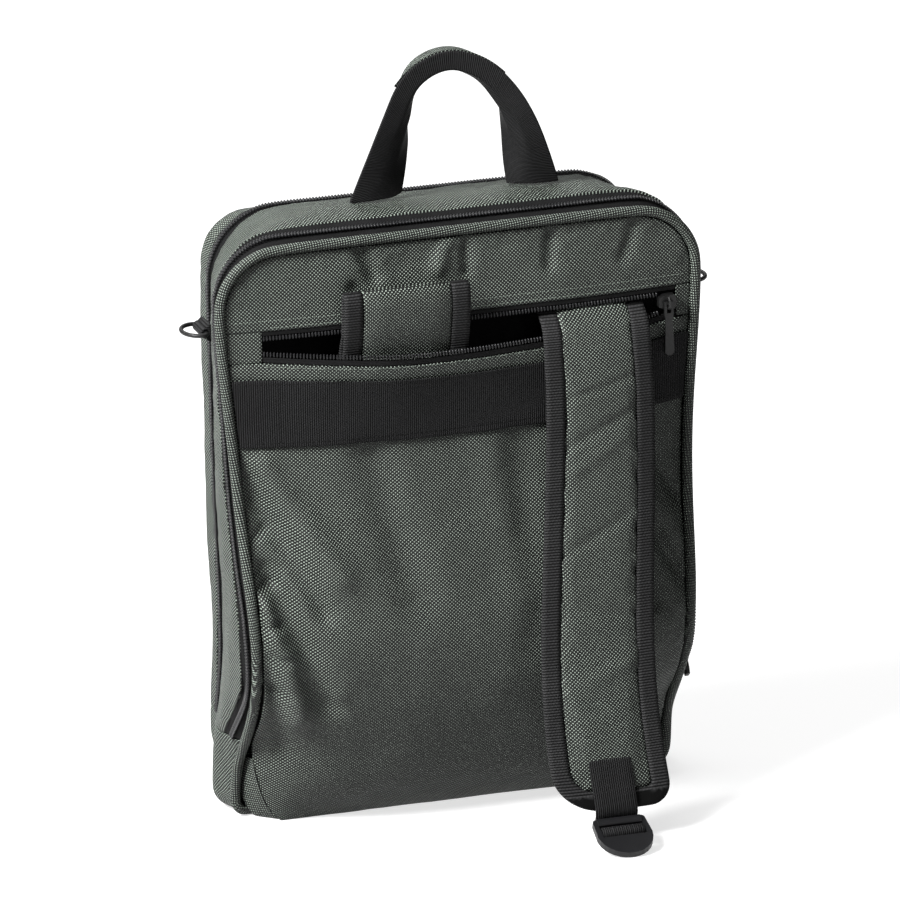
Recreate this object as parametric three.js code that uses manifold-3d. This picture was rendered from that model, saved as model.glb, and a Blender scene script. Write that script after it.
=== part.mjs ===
// A convertible backpack of woven nylon, standing on its base with its worn side towards -Y.
// One shoulder strap hangs out of the open back pocket, and the other is folded away in it.
// Millimetres, +Z up. The origin is on the floor, under the middle of the bag.
import * as THREE from 'three';
import { mergeVertices } from 'three/addons/utils/BufferGeometryUtils.js';
import Module from 'manifold-3d';

// The bag's outline, measured to the centre of the piping round the worn panel
const SEAM_WIDTH = 302;
const SEAM_HEIGHT = 369;
const CORNER_RADIUS = 38;
const FOOT_RADIUS = 14;
const DEPTH = 100;
const FOOT_HEIGHT = 54; // where both long zips end
const CROWN_RISE = 13; // the gusset's crest above the seam
const FRONT_INSET = 15; // how much narrower the front compartment is, on each side
const BASE_LIFT = 24; // how far the base curves up to the front panel
const FRONT_PUFF = 9;

// Cloth, piping and clearances
const FABRIC = 2;
const SEAM_GAP = 0.3;
const PIPING_RADIUS = 3.4;
const TAPE = 1.2;
const WEBBING = 1.6;

// The two long zips, as distances behind the worn panel's seam
const MAIN_ZIP_WIDTH = 11;
const FRONT_ZIP_SETBACK = 68;
const FRONT_ZIP_WIDTH = 12;
const COIL_WIDTH = 6;
const COIL_RISE = 1.3;

// The back pocket in the worn panel
const MOUTH_MARGIN = 20; // from the seam, on each side
const MOUTH_LENGTH = SEAM_WIDTH - 2 * MOUTH_MARGIN;
const MOUTH_SHIFT = 6; // the mouth's middle, right of the bag's
const MOUTH_DROP = 69; // its lower edge, down from the seam's top
const MOUTH_BOTTOM = SEAM_HEIGHT - MOUTH_DROP;
const MOUTH_HEIGHT = 19.5;
const UPPER_TAPE = 2.6;
const LOWER_TAPE = 3.4;
const TEETH_WIDTH = 3.2;
const TEETH_THICKNESS = 2.6;
const LIP_OUT = 0.14 * DEPTH;
const LIP_DROP = 7;
const LIP_REACH = 100; // how far down the panel the lip's slack runs
const POCKET_DEPTH = 14;
const BAND_DROP = 79;
const BAND_TOP = SEAM_HEIGHT - BAND_DROP;
const BAND_WIDTH = 42;
const BAND_MARGIN = 12; // the cloth's next row below the band
const TOE_INSET = 37; // the worn panel's lower corners, in from the seam
const TOE_SETBACK = 22;

// The shoulder straps
const STRAP_NECK = 66;
const STRAP_WIDTH = 74;
const STRAP_THICKNESS = 6.5;
const STRAP_EDGE = 4.6; // the thickness where the pad meets its binding
const BINDING_WIDTH = 11.5;
const INNER_CORNER = 28; // the corner nearer the bag's middle
const OUTER_CORNER = 16;
const STRAP_PLACE = 0.767; // its middle, as a share of the mouth's length
const STRAP_MIDDLE = MOUTH_SHIFT + (STRAP_PLACE - 0.5) * MOUTH_LENGTH;
const STRAP_TUCK = 80; // the length of it that lies in the pocket and over the lip
const STOWED_WIDTH = 79;
const STOWED_THICKNESS = 4;
const STOWED_PLACE = 0.332;
const STOWED_MIDDLE = MOUTH_SHIFT + (STOWED_PLACE - 0.5) * MOUTH_LENGTH;
const TAB_WIDTH = 26.6;
const TAB_LENGTH = 31;

// The ladder buckle
const BUCKLE_WIDTH = 33;
const BUCKLE_LENGTH = 33;
const BUCKLE_THICKNESS = 4;
const BUCKLE_RIM = 2.7;
const BUCKLE_TOP_BAR = 6;
const BUCKLE_FIRST_SLOT = 3.7;
const BUCKLE_BAR = 2.8;
const BUCKLE_SECOND_SLOT = 4;
const BUCKLE_FOOT = 2.2; // the height of its middle plane at the end on the floor

// The carrying handle, of webbing that is folded into a channel at the grip
const HANDLE_SPAN = 132; // over the outer edges of its feet
const HANDLE_RISE = 90;
const HANDLE_SHIFT = 9;
const HANDLE_SETBACK = 34;
const HANDLE_WEBBING = 32;
const HANDLE_WALL = 0.38; // each wall of the channel, as a share of the webbing
const FACING_THICKNESS = 1.4;

// The rings for a carrying strap, one on each side
const RING_DROP = 54;
const RING_HEIGHT = SEAM_HEIGHT - RING_DROP;
const RING_SETBACK = 30;
const RING_WIDTH = 26;
const RING_REACH = 12.5;
const WIRE_RADIUS = 1.6;
const RING_TAB_WIDTH = 18;
const RING_TAB_HEIGHT = 11;
const RING_TAB_WALL = 1.4;
const RUNNING_GAP = 0.35;

// The sliders
const SLIDER_LENGTH = 11;
const SLIDER_WIDTH = 9;
const SLIDER_THICKNESS = 5.2;
const BRIDGE_SPAN = 6.6;
const BRIDGE_RADIUS = 0.9;
const PULL_LENGTH = 33;
const PULL_WIDTH = 5.8;
const PULL_WAIST = 4.6;
const PULL_THICKNESS = 1.6;
const PULL_EYE = 7;
const PULL_BAR = 0.85; // half the height of its upper bar

// Cloth colours and finishes
const GREEN_CLOTH = { color: 0x5c665c, roughness: 0.75, metalness: 0 };
const BLACK_WEBBING = { color: 0x1c1c1e, roughness: 0.8, metalness: 0 };
const BLACK_TAPE = { color: 0x161617, roughness: 0.85, metalness: 0 };
const BLACK_PLASTIC = { color: 0x1b1b1d, roughness: 0.4, metalness: 0 };
const BLACK_METAL = { color: 0x222224, roughness: 0.35, metalness: 0.8 };

const NEAR_Y = -DEPTH / 2;
const PANEL_MARGIN = PIPING_RADIUS + 1.8 * SEAM_GAP;

// How the worn panel's side seam runs. height is a share of SEAM_HEIGHT, pinch (inwards) a share of
// SEAM_WIDTH, and bulge (towards the wearer) a share of DEPTH.
const SIDE_ROWS = [
  { height: 0.0, pinch: 0.042, bulge: -0.4 },
  { height: 0.06, pinch: 0.043, bulge: -0.36 },
  { height: 0.11, pinch: 0.047, bulge: -0.3 },
  { height: 0.15, pinch: 0.049, bulge: -0.17 },
  { height: 0.19, pinch: 0.049, bulge: 0.02 },
  { height: 0.24, pinch: 0.048, bulge: 0.14 },
  { height: 0.3, pinch: 0.045, bulge: 0.2 },
  { height: 0.37, pinch: 0.042, bulge: 0.19 },
  { height: 0.46, pinch: 0.037, bulge: 0.1 },
  { height: 0.56, pinch: 0.031, bulge: 0.02 },
  { height: 0.68, pinch: 0.022, bulge: 0.0 },
  { height: 0.86, pinch: 0.002, bulge: 0.0 },
  { height: 1.0, pinch: 0.0, bulge: 0.0 },
];

// The worn panel's middle line, from the floor up. out is a share of DEPTH.
const MIDDLE_ROWS = [
  { height: 0.0, out: -0.22 },
  { height: 0.03, out: -0.07 },
  { height: 0.07, out: 0.07 },
  { height: 0.13, out: 0.19 },
  { height: 0.22, out: 0.3 },
  { height: 0.31, out: 0.35 },
  { height: 0.42, out: 0.31 },
  { height: 0.55, out: 0.21 },
  { height: 0.68, out: 0.125 },
  { height: 0.8, out: 0.08 },
  { height: 0.9, out: 0.06 },
  { height: 1.0, out: 0.0 },
];

// The gusset from the worn panel's seam to the front panel. setback is a share of DEPTH, rise of CROWN_RISE,
// inset of FRONT_INSET, round of CORNER_RADIUS and lift of BASE_LIFT.
const GUSSET_ROWS = [
  { setback: 0.0, rise: 0.0, inset: 0.0, round: 1.0, lift: 0.0 },
  { setback: 0.04, rise: 0.12, inset: 0.0, round: 1.0, lift: 0.0 },
  { setback: 0.15, rise: 0.7, inset: 0.03, round: 1.15, lift: 0.0 },
  { setback: 0.24, rise: 0.92, inset: 0.16, round: 1.4, lift: 0.0 },
  { setback: 0.34, rise: 1.0, inset: 0.38, round: 1.65, lift: 0.0 },
  { setback: 0.5, rise: 0.85, inset: 0.66, round: 1.5, lift: 0.0 },
  { setback: 0.68, rise: 0.5, inset: 1.02, round: 1.2, lift: 0.12 },
  { setback: 0.8, rise: 0.4, inset: 1.05, round: 1.1, lift: 0.3 },
  { setback: 0.9, rise: 0.1, inset: 0.98, round: 0.85, lift: 0.6 },
  { setback: 1.0, rise: -0.5, inset: 1.5, round: 0.85, lift: 1.0 },
];

// The slack of the pocket's lower lip. across is a share of MOUTH_LENGTH, out of LIP_OUT, drop of LIP_DROP.
const LIP_ROWS = [
  { across: 0.0, out: 0.0, drop: 0.0 },
  { across: 0.13, out: 0.62, drop: 0.3 },
  { across: 0.3, out: 1.0, drop: 0.8 },
  { across: 0.46, out: 0.85, drop: 1.0 },
  { across: 0.65, out: 0.42, drop: 1.0 },
  { across: 0.8, out: 0.26, drop: 0.95 },
  { across: 0.92, out: 0.12, drop: 0.45 },
  { across: 1.0, out: 0.0, drop: 0.0 },
];

// Soft folds pressed into the worn panel. across and up place each one's middle, as shares of SEAM_WIDTH and
// SEAM_HEIGHT; lean is its angle in degrees; long and wide are shares of SEAM_WIDTH, and deep of DEPTH.
const FOLD_ROWS = [
  { across: -0.3, up: 0.5, lean: -52, long: 0.26, wide: 0.05, deep: 0.045 },
  { across: -0.37, up: 0.6, lean: -20, long: 0.1, wide: 0.04, deep: -0.04 },
  { across: -0.15, up: 0.34, lean: -58, long: 0.24, wide: 0.07, deep: -0.035 },
  { across: -0.33, up: 0.24, lean: -75, long: 0.16, wide: 0.06, deep: 0.03 },
  { across: 0.38, up: 0.42, lean: 55, long: 0.16, wide: 0.045, deep: -0.035 },
  { across: 0.1, up: 0.5, lean: 78, long: 0.2, wide: 0.09, deep: -0.03 },
  { across: -0.12, up: 0.93, lean: 80, long: 0.07, wide: 0.035, deep: -0.02 },
  { across: 0.14, up: 0.93, lean: 100, long: 0.07, wide: 0.035, deep: -0.02 },
  { across: 0.33, up: 0.94, lean: 70, long: 0.06, wide: 0.03, deep: -0.018 },
];

// The hanging strap's middle line, from inside the pocket to its lower end. up is a share of MOUTH_BOTTOM, out
// (before the worn panel's seam) of DEPTH, and lean (right of STRAP_MIDDLE) of STRAP_WIDTH.
const STRAP_ROWS = [
  { up: 1.1328, out: -0.06, lean: 0.09 },
  { up: 1.0738, out: -0.06, lean: 0.09 },
  { up: 1.0435, out: -0.028, lean: 0.088 },
  { up: 1.0307, out: 0.04, lean: 0.086 },
  { up: 1.0184, out: 0.105, lean: 0.082 },
  { up: 1.0012, out: 0.155, lean: 0.076 },
  { up: 0.9766, out: 0.18, lean: 0.07 },
  { up: 0.9422, out: 0.205, lean: 0.066 },
  { up: 0.893, out: 0.225, lean: 0.066 },
  { up: 0.8327, out: 0.24, lean: 0.062 },
  { up: 0.7503, out: 0.27, lean: 0.04 },
  { up: 0.6494, out: 0.31, lean: 0.01 },
  { up: 0.5203, out: 0.38, lean: -0.044 },
  { up: 0.3764, out: 0.47, lean: -0.1 },
  { up: 0.2595, out: 0.585, lean: -0.135 },
  { up: 0.1636, out: 0.7, lean: -0.142 },
  { up: 0.1033, out: 0.785, lean: -0.136 },
  { up: 0.0664, out: 0.852, lean: -0.12 },
];

// The stowed strap's middle line, from its hidden end up, over its fold and down again into the pocket. up is
// a share of MOUTH_BOTTOM and out of DEPTH.
const STOWED_ROWS = [
  { up: 0.4092, out: 0.22 },
  { up: 0.5229, out: 0.16 },
  { up: 0.6593, out: 0.08 },
  { up: 0.7957, out: 0.03 },
  { up: 0.9321, out: 0.02 },
  { up: 1.0003, out: 0.045 },
  { up: 1.0287, out: 0.085 },
  { up: 1.048, out: 0.116 },
  { up: 1.0741, out: 0.122 },
  { up: 1.1071, out: 0.126 },
  { up: 1.1276, out: 0.137 },
  { up: 1.1367, out: 0.16 },
  { up: 1.1276, out: 0.183 },
  { up: 1.1037, out: 0.188 },
  { up: 1.0503, out: 0.165 },
  { up: 1.0003, out: 0.118 },
  { up: 0.9503, out: 0.09 },
  { up: 0.8332, out: 0.085 },
];

// The handle's outer edge. across is a share of half HANDLE_SPAN, up of HANDLE_RISE, and fold is the angle of
// each of the channel's two bends, in degrees.
const HANDLE_ROWS = [
  { across: -1.0, up: 0.0, fold: 5 },
  { across: -0.91, up: 0.16, fold: 10 },
  { across: -0.82, up: 0.31, fold: 18 },
  { across: -0.73, up: 0.47, fold: 28 },
  { across: -0.636, up: 0.63, fold: 42 },
  { across: -0.555, up: 0.78, fold: 60 },
  { across: -0.41, up: 0.9, fold: 74 },
  { across: -0.24, up: 0.97, fold: 80 },
  { across: -0.064, up: 1.0, fold: 81 },
  { across: 0.106, up: 0.985, fold: 80 },
  { across: 0.276, up: 0.93, fold: 77 },
  { across: 0.4, up: 0.87, fold: 72 },
  { across: 0.508, up: 0.795, fold: 66 },
  { across: 0.673, up: 0.64, fold: 54 },
  { across: 0.818, up: 0.43, fold: 38 },
  { across: 0.91, up: 0.23, fold: 24 },
  { across: 0.97, up: 0.09, fold: 16 },
  { across: 1.0, up: 0.0, fold: 12 },
];
const FACING_FIRST = 5; // the handle's green facing runs between these rows
const FACING_LAST = 12;

// A smooth value of one column between a table's rows, which are in order of the key column.
function along(rows, key, column, at) {
  const last = rows.length - 1;
  if (at <= rows[0][key]) return rows[0][column];
  if (at >= rows[last][key]) return rows[last][column];
  const i = rows.findIndex((row) => row[key] > at) - 1;
  const slope = (a, b) => (rows[b][column] - rows[a][column]) / (rows[b][key] - rows[a][key]);
  const start = slope(Math.max(i - 1, 0), i + 1);
  const end = slope(i, Math.min(i + 2, last));
  const span = rows[i + 1][key] - rows[i][key];
  const t = (at - rows[i][key]) / span;
  return (
    (2 * t ** 3 - 3 * t ** 2 + 1) * rows[i][column] +
    (t ** 3 - 2 * t ** 2 + t) * span * start +
    (3 * t ** 2 - 2 * t ** 3) * rows[i + 1][column] +
    (t ** 3 - t ** 2) * span * end
  );
}

// A straight-line value of one column between a table's rows.
function between(rows, key, column, at) {
  const last = rows.length - 1;
  if (at <= rows[0][key]) return rows[0][column];
  if (at >= rows[last][key]) return rows[last][column];
  const i = rows.findIndex((row) => row[key] > at) - 1;
  const t = (at - rows[i][key]) / (rows[i + 1][key] - rows[i][key]);
  return THREE.MathUtils.lerp(rows[i][column], rows[i + 1][column], t);
}

const point = (x, y, z) => new THREE.Vector3(x, y, z);
const steps = (count, from = 0, to = 1) =>
  Array.from({ length: count + 1 }, (_, i) => THREE.MathUtils.lerp(from, to, i / count));

// A closed body through loops of the same even number of points. Its ends are closed by joining each loop's
// halves, or it runs round on itself.
function loft(loops, closed = false) {
  const size = loops[0].length;
  const positions = loops.flat().flatMap((p) => [p.x, p.y, p.z]);
  const index = [];
  const quad = (a, b, c, d) => index.push(a, b, c, a, c, d);
  const spans = closed ? loops.length : loops.length - 1;
  for (let i = 0; i < spans; i++) {
    const here = i * size;
    const next = ((i + 1) % loops.length) * size;
    for (let j = 0; j < size; j++) {
      const k = (j + 1) % size;
      quad(here + j, here + k, next + k, next + j);
    }
  }
  if (!closed) {
    const end = (loops.length - 1) * size;
    for (let j = 0; j < size / 2 - 1; j++) {
      const k = size - 1 - j;
      quad(j, k, k - 1, j + 1);
      quad(end + j, end + j + 1, end + k - 1, end + k);
    }
  }
  const at = (i) => point(positions[3 * i], positions[3 * i + 1], positions[3 * i + 2]);
  let volume = 0;
  for (let i = 0; i < index.length; i += 3) {
    volume += at(index[i]).dot(at(index[i + 1]).cross(at(index[i + 2])));
  }
  if (volume < 0) index.reverse();
  const geometry = new THREE.BufferGeometry();
  geometry.setAttribute('position', new THREE.Float32BufferAttribute(positions, 3));
  geometry.setIndex(index);
  geometry.computeVertexNormals();
  return geometry;
}

// A sheet between two grids of the same size, rows of points from one long edge to the other.
function sheet(outer, inner, closed = false) {
  return loft(outer.map((row, i) => [...row, ...[...inner[i]].reverse()]), closed);
}

// A round bar along points. side is a direction that the points never run in.
function tube(points, radius, sides, side, closed = false) {
  const last = points.length - 1;
  return loft(
    points.map((p, i) => {
      const before = points[closed ? (i + last) % (last + 1) : Math.max(i - 1, 0)];
      const after = points[closed ? (i + 1) % (last + 1) : Math.min(i + 1, last)];
      const forward = after.clone().sub(before).normalize();
      const across = side.clone().cross(forward).normalize();
      const up = forward.clone().cross(across);
      return steps(sides).slice(0, sides).map((share) =>
        p.clone()
          .addScaledVector(across, radius * Math.cos(share * 2 * Math.PI))
          .addScaledVector(up, radius * Math.sin(share * 2 * Math.PI)),
      );
    }),
    closed,
  );
}

const wasm = await Module();
wasm.setup();

// A three.js geometry as a solid that can be joined and cut, and back.
function toSolid(geometry) {
  const bare = geometry.clone();
  bare.deleteAttribute('normal');
  bare.deleteAttribute('uv');
  const merged = mergeVertices(bare);
  const vertProperties = new Float32Array(merged.attributes.position.array);
  const triVerts = new Uint32Array(merged.index.array);
  return new wasm.Manifold(new wasm.Mesh({ numProp: 3, vertProperties, triVerts }));
}

function toGeometry(solid) {
  const mesh = solid.getMesh();
  const geometry = new THREE.BufferGeometry();
  geometry.setAttribute('position', new THREE.BufferAttribute(mesh.vertProperties, 3));
  geometry.setIndex(new THREE.BufferAttribute(mesh.triVerts, 1));
  geometry.computeVertexNormals();
  return geometry;
}

const bag = new THREE.Group();

function add(name, geometry, finish, parent = bag) {
  const mesh = new THREE.Mesh(geometry, new THREE.MeshStandardMaterial(finish));
  mesh.name = name;
  parent.add(mesh);
  return mesh;
}

const SHIN_STEPS = 3;
const FOOT_STEPS = 4;

// Places round the bag's outline: a zone of it, the side of the bag and a share along the zone.
const zone = (name, side, shares) => shares.map((share) => ({ name, side, share }));
const OVER_THE_TOP = [
  ...zone('side', -1, steps(7)),
  ...zone('corner', -1, steps(5).slice(1)),
  ...zone('top', 1, steps(5).slice(1)),
  ...zone('corner', 1, steps(5).slice(0, 5).reverse()),
  ...zone('side', 1, steps(7).slice(0, 7).reverse()),
];
const UNDER_THE_BASE = [
  ...zone('shin', -1, steps(SHIN_STEPS)),
  ...zone('foot', -1, steps(FOOT_STEPS).slice(1)),
  ...zone('bottom', 1, steps(5).slice(1)),
  ...zone('foot', 1, steps(FOOT_STEPS).slice(0, FOOT_STEPS).reverse()),
  ...zone('shin', 1, steps(SHIN_STEPS).slice(0, SHIN_STEPS).reverse()),
];
// The places of each run but the last come from the other side's corners, so the ring closes on itself.
const ALL_ROUND = [...OVER_THE_TOP, ...[...UNDER_THE_BASE].reverse().slice(1, -1)];

const seamPinch = (z) => SEAM_WIDTH * along(SIDE_ROWS, 'height', 'pinch', z / SEAM_HEIGHT);
const seamBulge = (z) => DEPTH * along(SIDE_ROWS, 'height', 'bulge', z / SEAM_HEIGHT);
// Up to the main zip's far edge, setbacks are measured square to the seam; behind it they even out to DEPTH.
const NEAR_BAND = PANEL_MARGIN + MAIN_ZIP_WIDTH;
function depthAt(setback, z) {
  const slope = (seamBulge(z + 2) - seamBulge(Math.max(z - 2, 0))) / 4;
  const near = Math.min(setback, NEAR_BAND) * Math.hypot(1, slope) - seamBulge(z);
  const behind = Math.max(0, setback - NEAR_BAND) / (DEPTH - NEAR_BAND);
  return NEAR_Y + THREE.MathUtils.lerp(near, DEPTH, behind);
}
// The pull on the side seam dies out over this share of DEPTH.
const PINCH_REACH = 0.3;
const pinchShare = (setback) => Math.max(0, 1 - setback / (DEPTH * PINCH_REACH));

// The bag's outline at a setback, drawn in by some amount.
function outlineAt(setback, inwards) {
  const row = (column) => between(GUSSET_ROWS, 'setback', column, setback / DEPTH);
  return {
    half: SEAM_WIDTH / 2 - FRONT_INSET * row('inset') - inwards,
    top: SEAM_HEIGHT + CROWN_RISE * row('rise') - inwards,
    bottom: BASE_LIFT * row('lift') + inwards,
    corner: CORNER_RADIUS * row('round') - inwards,
    foot: FOOT_RADIUS * (1 + row('lift')) - inwards,
  };
}

// The point of the bag's skin at a place and setback, moved inwards in the plane of the outline.
function skinPoint(place, setback, inwards = 0) {
  const { half, top, bottom, corner, foot } = outlineAt(setback, inwards);
  const turn = (place.share * Math.PI) / 2;
  let x = half;
  let z = bottom;
  if (place.name === 'side') z = THREE.MathUtils.lerp(FOOT_HEIGHT, top - corner, place.share);
  if (place.name === 'corner') {
    x = half - corner * (1 - Math.cos(turn));
    z = top - corner * (1 - Math.sin(turn));
  }
  if (place.name === 'top') {
    x = (half - corner) * (2 * place.share - 1);
    z = top;
  }
  if (place.name === 'shin') z = THREE.MathUtils.lerp(FOOT_HEIGHT, bottom + foot, place.share);
  if (place.name === 'foot') {
    x = half - foot * (1 - Math.cos(turn));
    z = bottom + foot * (1 - Math.sin(turn));
  }
  if (place.name === 'bottom') x = (half - foot) * (2 * place.share - 1);
  const pinched = 1 - (seamPinch(z) * pinchShare(setback)) / half;
  return point(place.side * x * pinched, depthAt(setback, z), z);
}

// A band of the bag's skin along places, with its columns at setbacks, its outer face sunk by some depth.
function band(places, setbacks, thickness, sunk = 0) {
  const grid = (inwards) => places.map((place) => setbacks.map((setback) => skinPoint(place, setback, inwards)));
  return sheet(grid(sunk), grid(sunk + thickness));
}

// The gusset's own rows between two setbacks, so that neighbouring bands share their bends.
function setbacksBetween(from, to) {
  const rows = GUSSET_ROWS.map((row) => row.setback * DEPTH).filter((s) => s > from + 1 && s < to - 1);
  return [from, ...rows, to];
}

const MAIN_ZIP_START = PANEL_MARGIN;
const MAIN_ZIP_END = MAIN_ZIP_START + MAIN_ZIP_WIDTH;
const FRONT_ZIP_END = FRONT_ZIP_SETBACK + FRONT_ZIP_WIDTH;
const TAPE_SUNK = 0.5;

function buildGussets() {
  const piping = ALL_ROUND.map((place) => {
    const p = skinPoint(place, 0);
    p.z = Math.max(p.z, PIPING_RADIUS + SEAM_GAP);
    return p;
  });
  add('piping', tube(piping, PIPING_RADIUS, 6, point(0, 1, 0), true), GREEN_CLOTH);
  const middle = setbacksBetween(MAIN_ZIP_END + SEAM_GAP, FRONT_ZIP_SETBACK - SEAM_GAP);
  add('middle_gusset', band(OVER_THE_TOP, middle, FABRIC), GREEN_CLOTH);
  const front = setbacksBetween(FRONT_ZIP_END + SEAM_GAP, DEPTH);
  add('front_gusset', band(OVER_THE_TOP, front, FABRIC), GREEN_CLOTH);
  const base = setbacksBetween(MAIN_ZIP_START, DEPTH);
  add('base_panel', band(UNDER_THE_BASE.map(belowZips), base, FABRIC), GREEN_CLOTH);
}

// The base's first and last places, a seam's gap below the ends of the bands above.
function belowZips(place) {
  const least = SEAM_GAP / (FOOT_HEIGHT - FOOT_RADIUS);
  return place.name === 'shin' ? { ...place, share: Math.max(place.share, least) } : place;
}

function buildLongZip(name, from, width) {
  const middle = from + width / 2;
  const coil = [middle - COIL_WIDTH / 2, middle, middle + COIL_WIDTH / 2];
  add(`${name}_tape`, band(OVER_THE_TOP, [from, ...coil, from + width], TAPE, TAPE_SUNK), BLACK_TAPE);
  const seat = TAPE_SUNK - SEAM_GAP;
  const sunk = [seat - COIL_RISE / 2, seat - COIL_RISE, seat - COIL_RISE / 2];
  const raised = OVER_THE_TOP.map((place) => coil.map((setback, i) => skinPoint(place, setback, sunk[i])));
  const seated = OVER_THE_TOP.map((place) => coil.map((setback) => skinPoint(place, setback, seat)));
  add(`${name}_coil`, sheet(raised, seated), BLACK_PLASTIC);
}

// Half the width of the outline at a height, for a panel that fills it.
function halfWidth(z, setback, inwards) {
  const { half, top, bottom, corner, foot } = outlineAt(setback, inwards);
  const over = z - (top - corner);
  const under = bottom + foot - z;
  let x = half;
  if (over > 0) x -= corner - Math.sqrt(Math.max(corner ** 2 - over ** 2, 0));
  if (under > 0) x -= foot - Math.sqrt(Math.max(foot ** 2 - under ** 2, 0));
  return x - seamPinch(z) * pinchShare(setback);
}

// How far folds push the worn panel towards the wearer.
function foldOut(x, z) {
  return FOLD_ROWS.reduce((sum, fold) => {
    const dx = x - fold.across * SEAM_WIDTH;
    const dz = z - fold.up * SEAM_HEIGHT;
    const lean = THREE.MathUtils.degToRad(fold.lean);
    const run = (dx * Math.cos(lean) + dz * Math.sin(lean)) / (fold.long * SEAM_WIDTH);
    const off = (dz * Math.cos(lean) - dx * Math.sin(lean)) / (fold.wide * SEAM_WIDTH);
    return sum + fold.deep * DEPTH * Math.exp(-(run ** 2) - off ** 2);
  }, 0);
}

const MOUTH_LEFT = MOUTH_SHIFT - MOUTH_LENGTH / 2;
const MOUTH_RIGHT = MOUTH_SHIFT + MOUTH_LENGTH / 2;
const MOUTH_TOP = MOUTH_BOTTOM + MOUTH_HEIGHT;
const CORNER_BOX = 3.5; // how squarely the panel's middle meets its edges
const lipSlack = (x, column) => along(LIP_ROWS, 'across', column, (x - MOUTH_LEFT) / MOUTH_LENGTH);

// The worn panel's left edge below FOOT_HEIGHT, where it leaves the seam for its toe.
function toePoint(share) {
  const seam = point(halfWidth(FOOT_HEIGHT, 0, PANEL_MARGIN), depthAt(0, FOOT_HEIGHT), FOOT_HEIGHT);
  const toe = point(SEAM_WIDTH / 2 - TOE_INSET, NEAR_Y + TOE_SETBACK, SEAM_GAP);
  const bend = point(THREE.MathUtils.lerp(seam.x, toe.x, 0.2), toe.y, FOOT_HEIGHT * 0.25);
  return new THREE.QuadraticBezierCurve3(seam, bend, toe).getPoint(share);
}

// The worn panel at a share from its left edge (-1) to its right edge (1), on the row with this edge point.
function panelPoint(across, edge) {
  const z = edge.z;
  const x = across * edge.x;
  const middle = NEAR_Y - DEPTH * along(MIDDLE_ROWS, 'height', 'out', z / SEAM_HEIGHT);
  const filled = 1 - Math.abs(across) ** CORNER_BOX;
  return point(x, THREE.MathUtils.lerp(edge.y, middle, filled) - filled * foldOut(x, z), z);
}

function panelEdge(z) {
  return point(halfWidth(z, 0, PANEL_MARGIN), depthAt(0, z), z);
}

// The lower panel's point with the pocket lip's slack, which dies out below it.
function lowerPoint(across, edge) {
  const p = panelPoint(across, edge);
  const slack = Math.max(0, (p.z - MOUTH_BOTTOM + LIP_REACH) / LIP_REACH) ** 2;
  p.y -= LIP_OUT * lipSlack(p.x, 'out') * slack;
  p.z -= LIP_DROP * lipSlack(p.x, 'drop') * slack;
  return p;
}

const PANEL_COLUMNS = steps(16, -1, 1);
const BAND_GAP = 0.5;
const shifted = (grid, x, y, z) => grid.map((row) => row.map((p) => p.clone().add(point(x, y, z))));

function buildWornPanel() {
  const bandBottom = BAND_TOP - BAND_WIDTH;
  const bandRows = steps(3, bandBottom, BAND_TOP);
  const toeRows = steps(SHIN_STEPS + FOOT_STEPS).slice(1).reverse().map(toePoint);
  const bodyRows = [...steps(9, FOOT_HEIGHT, bandBottom - BAND_MARGIN), ...bandRows, MOUTH_BOTTOM].map(panelEdge);
  const lower = [...toeRows, ...bodyRows].map((edge) => PANEL_COLUMNS.map((s) => lowerPoint(s, edge)));
  add('lower_panel', sheet(lower, shifted(lower, 0, FABRIC, 0)), GREEN_CLOTH);

  const webbed = bandRows.map(panelEdge).map((edge) => PANEL_COLUMNS.map((s) => lowerPoint(s, edge)));
  const face = shifted(webbed, 0, -BAND_GAP - WEBBING, 0);
  add('panel_webbing', sheet(face, shifted(webbed, 0, -BAND_GAP, 0)), BLACK_WEBBING);

  const corner = steps(5).map((share) => Math.sin((share * Math.PI) / 2));
  const arcStart = SEAM_HEIGHT - CORNER_RADIUS;
  const arc = corner.map((rise) => arcStart + (CORNER_RADIUS - PANEL_MARGIN) * rise);
  const upperRows = [MOUTH_TOP + SEAM_GAP, ...arc].map(panelEdge);
  const upper = upperRows.map((edge) => PANEL_COLUMNS.map((s) => panelPoint(s, edge)));
  add('upper_panel', sheet(upper, shifted(upper, 0, FABRIC, 0)), GREEN_CLOTH);
}

// The cloth from the worn panel's lower edge back under the bag to the piping, with an ear up each side.
function buildToe() {
  const places = UNDER_THE_BASE.slice(1, -1);
  const start = (place) => {
    if (place.name === 'bottom') return 1;
    const step = place.name === 'shin' ? place.share * SHIN_STEPS : SHIN_STEPS + place.share * FOOT_STEPS;
    return step / (SHIN_STEPS + FOOT_STEPS);
  };
  // How far a place has turned from the side of the bag to its underside, from 0 to 1.
  const turned = (place) => (place.name === 'shin' ? 0 : place.name === 'foot' ? place.share : 1);
  const grid = places.map((place) => {
    const under = turned(place);
    const across = place.name === 'bottom' ? 2 * place.share - 1 : place.side;
    const lip = panelPoint(across, toePoint(start(place)));
    if (under < 1) lip.x += place.side * 1.5 * SEAM_GAP;
    lip.y += Math.min(1, 2 * under) * (FABRIC + SEAM_GAP);
    lip.z = Math.max(lip.z - under * SEAM_GAP, 0);
    const clear = PANEL_MARGIN * (1 + 0.65 * Math.sin(Math.PI * under));
    const seam = skinPoint(place, 0, clear);
    seam.z = THREE.MathUtils.lerp(seam.z, 0, under);
    seam.y -= under * clear;
    return [lip, lip.clone().lerp(seam, 0.5), seam];
  });
  const inner = grid.map((row, i) => {
    const turn = (turned(places[i]) * Math.PI) / 2;
    return row.map((p) => p.clone().add(point(0, FABRIC * Math.cos(turn), FABRIC * Math.sin(turn))));
  });
  add('toe_panel', sheet(grid, inner), GREEN_CLOTH);
}

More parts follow.
